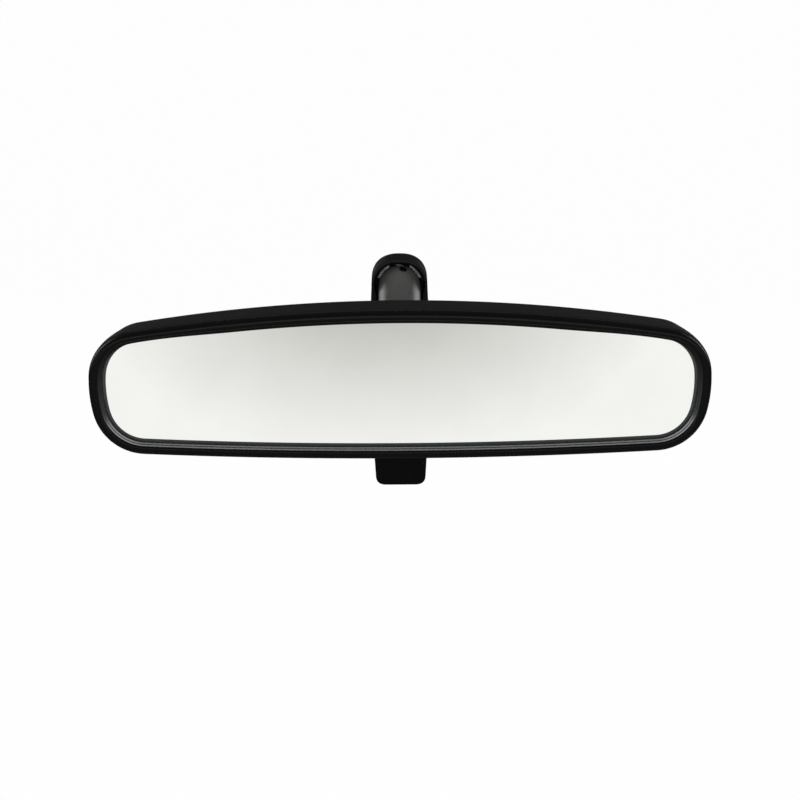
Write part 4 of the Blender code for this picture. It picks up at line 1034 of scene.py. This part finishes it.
    def button(self, sizes):
        """The keystone outline carried through the thickness, narrower to the glass, edges softened."""
        thick = float(BUTTON_HIGH[1] - BUTTON_LOW[1])
        bevel = sizes.button_bevel
        bottom = float(BUTTON_LOW[2])
        grow = np.array([-bevel - 0.0003, -bevel - 0.0001, -bevel, 0.0, 0.0, -0.0002, -0.0005])
        at = np.array([0.0, -0.0001, -0.0003, 0.0008 - thick, 0.0003 - thick, 0.0001 - thick, -thick])
        rings = np.stack([keystone(offset, sizes.button_crown, bottom, True) for offset in grow])
        mesh = mesh_of("button", [shell(upright(rings, at[:, None]))])
        dimple_pitch = 0.0044
        cone = [(0.0041, 0.0008), (0.0034, 0.0), (0.001, -0.0031), (0.0001, -0.0032)]
        dimples = [turned(cone, np.array([0.0, -thick, SCREW_HEIGHT + up]), FROM_WINDSHIELD, 48)
                   for up in (0.0, dimple_pitch)]
        mesh = carved(mesh, dimples)
        settle(mesh, "zinc_button", "foot", ["windshield_button"], ["zinc"], 40.0)

    def screw(self):
        """Button head, plain shank with a cone point, and a hexagon socket cut in."""
        head, head_rise, shank, socket_size = 0.00435, 0.0023, 0.00208, 0.0015
        point, point_rise = 0.00085, 0.0017
        seat_to_tip = float(SCREW_HIGH[1] - SCREW_LOW[1]) - head_rise
        origin = np.array([0.0, float(SCREW_LOW[1]) + head_rise, SCREW_HEIGHT])
        turn = np.linspace(0.12, math.pi / 2, 14)
        dome = np.stack([head * np.sin(turn), 0.0003 + 0.002 * np.cos(turn)], axis=1)
        below = [(head, 0.0001), (0.0042, 0.0), (shank, 0.0), (shank, point_rise - seat_to_tip),
                 (point, -seat_to_tip), (0.0001, -seat_to_tip)]
        mesh = mesh_of("screw", [turned(np.concatenate([dome, below]), origin, FROM_WINDSHIELD, 64)])
        socket = turned([(socket_size, 0.004), (socket_size, 0.001), (0.0014, 0.0009)], origin,
                        FROM_WINDSHIELD, 6)
        mesh = carved(mesh, [socket])
        settle(mesh, "clamp_screw", "foot", ["foot_clamp_screw"], ["nickel"], 35.0)


class MIRROR_OT_inner(bpy.types.Operator):
    """Finish the pieces inside the case, which keep the frame's own shapes"""
    bl_idname = "mirror.inner"
    bl_label = "Inner pieces"

    def execute(self, context):
        """Materials only."""
        dress("pivot_bracket", "bracket")
        for node in ("stud_washer", "stud_lock_nut", "bracket_hinge_pin", "lever_pin", "detent_spring",
                     "detent_screw"):
            dress(node, "steel")
        return {"FINISHED"}


class MIRROR_OT_studio(bpy.types.Operator):
    """Set up the floor, the lights and the camera"""
    bl_idname = "mirror.studio"
    bl_label = "Studio"

    def paper(self, studio, ground):
        """White paper for the camera; reflections see painted shade: a darker spot before the mirror and a
        dark rear.
        """
        painted_shade_centre, squeeze = (-0.015, -1.35, ground + 0.07), (2.53, 1.0, 1.0)
        patch_edge, patch_end = 0.0925, 0.617
        painted_shade_tone, pale = (0.508, 0.499, 0.468, 1.0), (1.0, 0.998, 0.982, 1.0)
        rear_start, rear_stop, painted_rear_shade, paper_level = -0.15, 0.05, 0.05, 0.85
        made = bpy.data.materials.new("studio_paper")
        made.use_nodes = True
        shop = Shop(made.node_tree)
        made.node_tree.nodes.clear()
        place = shop.place()
        off = shop.vector("MULTIPLY", shop.vector("SUBTRACT", place, painted_shade_centre), squeeze)
        away = shop.vector("LENGTH", off, output="Value")
        depth = shop.node("ShaderNodeSeparateXYZ", None, {0: place}, "Y")
        camera = shop.ray("Camera")
        # Glossy rays see a darker spot and a dark rear painted into the paper: painted shade seen in
        # reflections.
        tint = shop.blend(shop.span(away, patch_edge, patch_end), painted_shade_tone, pale)
        tint = shop.blend(shop.span(depth, rear_start, rear_stop), tint, grey(painted_rear_shade))
        tint = shop.blend(camera, tint, grey(1.0))
        bright = shop.node("ShaderNodeEmission", None, {"Color": tint, "Strength": 1.0})
        plain = shop.node("ShaderNodeBsdfDiffuse", None, {"Color": grey(paper_level)})
        seen = camera * studio.paper + shop.ray("Glossy").largest(shop.ray("Transmission"))
        mixed = shop.node("ShaderNodeMixShader", None, {0: seen, 1: plain, 2: bright})
        shop.node("ShaderNodeOutputMaterial", None, {"Surface": mixed})
        return made

    def lamp(self, name, watts, size, place, target):
        """A softbox aimed at a point."""
        light = bpy.data.lights.new(name, "AREA")
        light.shape = "RECTANGLE"
        light.size, light.size_y = size
        light.energy = watts
        item = bpy.data.objects.new(name, light)
        bpy.context.scene.collection.objects.link(item)
        item.visible_camera = False
        item.location = place
        item.rotation_euler = (Vector(target) - Vector(place)).to_track_quat("-Z", "Y").to_euler()
        return item

    def execute(self, context):
        """A floor that sweeps up behind, the softboxes, and the camera at the photograph's angle."""
        scene = context.scene
        studio = scene.mirror_studio
        scene.view_settings.view_transform = "Standard"
        ground = CAD_BOX[0][2] - studio.floor_gap
        near, far, half_width, bend, top = -3.0, 1.4, 3.5, 0.9, 3.4
        run = np.linspace(near, far, 30)
        turn = np.linspace(0.0, math.pi / 2, 24)[1:]
        y = np.concatenate([run, far + bend * np.sin(turn), [far + bend]])
        z = np.concatenate([0.0 * run, bend * (1 - np.cos(turn)), [top]]) + ground
        x = np.linspace(-half_width, half_width, 12)
        sheet = np.stack(np.broadcast_arrays(x, y[:, None], z[:, None]), axis=-1)
        points, faces = shell(sheet, wrap_columns=False, caps=False)
        mesh = bpy.data.meshes.new("paper_sweep")
        mesh.from_pydata(points.tolist(), [], faces)
        mesh.shade_smooth()
        mesh.materials.append(self.paper(studio, ground))
        sweep = bpy.data.objects.new("paper_sweep", mesh)
        scene.collection.objects.link(sweep)
        focus = (0.0, -0.06, -0.02)
        lamps = {name: self.lamp(name, watts, size, place, focus) for name, watts, size, place in (
            ("key_softbox", studio.key_power, (1.8, 1.2), (0.0, -0.85, 1.15)),
            ("front_softbox", studio.front_power, (1.6, 0.44), (0.0, -1.5, 0.17)),
            ("left_fill", studio.fill_power, (0.8, 0.6), (-1.25, -0.75, 0.35)),
            ("right_fill", studio.fill_power, (0.8, 0.6), (1.25, -0.75, 0.35)),
            ("left_softbox", studio.side_power, (0.5, 0.5), (-0.70, 0.70, 0.18)),
            ("right_softbox", studio.side_power, (0.5, 0.5), (0.70, 0.70, 0.18)),
            ("rear_softbox", studio.rear_power, (1.6, 0.2), (0.0, 1.35, 0.04)))}
        lamps["rear_softbox"].data.spread = math.radians(50.0)
        lamps["rear_softbox"].visible_glossy = False
        lit_level, glossy_level, camera_level = 0.06, 0.6, 0.97
        world = bpy.data.worlds.new("studio_air")
        world.use_nodes = True
        shop = Shop(world.node_tree)
        air = shop.blend(shop.ray("Glossy"), grey(lit_level), grey(glossy_level))
        air = shop.blend(shop.ray("Camera"), air, grey(camera_level))
        world.node_tree.links.new(air.socket, world.node_tree.nodes["Background"].inputs["Color"])
        scene.world = world
        middle = Vector((0.0, float(BEZEL_LOW[1]), float(BEZEL_LOW[2] + BEZEL_HIGH[2]) / 2))
        down = studio.elevation
        forward = Vector((0.0, math.cos(down), -math.sin(down)))
        up = Vector((0.0, math.sin(down), math.cos(down)))
        sensor = 36.0
        lens = bpy.data.cameras.new("photo_camera")
        lens.sensor_width = sensor
        lens.lens = sensor * studio.distance / studio.frame_width
        lens.clip_start = 0.01
        camera = bpy.data.objects.new("photo_camera", lens)
        scene.collection.objects.link(camera)
        camera.location = middle - studio.distance * forward + studio.aim[1] * up
        camera.location.x += studio.aim[0]
        turn = Matrix.Rotation(math.pi / 2 - down, 4, "X") @ Matrix.Rotation(studio.roll, 4, "Z")
        camera.rotation_euler = turn.to_euler()
        scene.camera = camera
        return {"FINISHED"}


class MIRROR_PT_panel(bpy.types.Panel):
    """Lists the mirror's builders and sizes"""
    bl_idname = "MIRROR_PT_panel"
    bl_label = "Rearview mirror"
    bl_space_type = "VIEW_3D"
    bl_region_type = "UI"
    bl_category = "Mirror"

    def draw(self, context):
        """One button for each builder, then the sizes."""
        for builder in BUILDERS:
            self.layout.operator(builder.bl_idname)
        for name, group in GROUPS.items():
            box = self.layout.box()
            for item in group.__annotations__:
                box.prop(getattr(context.scene, name), item)


BUILDERS = (MIRROR_OT_bezel, MIRROR_OT_case, MIRROR_OT_glass, MIRROR_OT_lever, MIRROR_OT_arm, MIRROR_OT_foot,
            MIRROR_OT_inner, MIRROR_OT_studio)
CLASSES = (*GROUPS.values(), *BUILDERS, MIRROR_PT_panel)


def register():
    """Register the classes and hang the property groups on the scene."""
    for item in CLASSES:
        bpy.utils.register_class(item)
    for name, group in GROUPS.items():
        setattr(bpy.types.Scene, name, bpy.props.PointerProperty(type=group))


def unregister():
    """Undo register."""
    for name in GROUPS:
        delattr(bpy.types.Scene, name)
    for item in reversed(CLASSES):
        bpy.utils.unregister_class(item)


def main():
    """Register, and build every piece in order."""
    register()
    make_materials(bpy.context.scene.mirror_finish)
    for builder in BUILDERS:
        group, _, name = builder.bl_idname.partition(".")
        getattr(getattr(bpy.ops, group), name)()


if __name__ == "__main__":
    main()
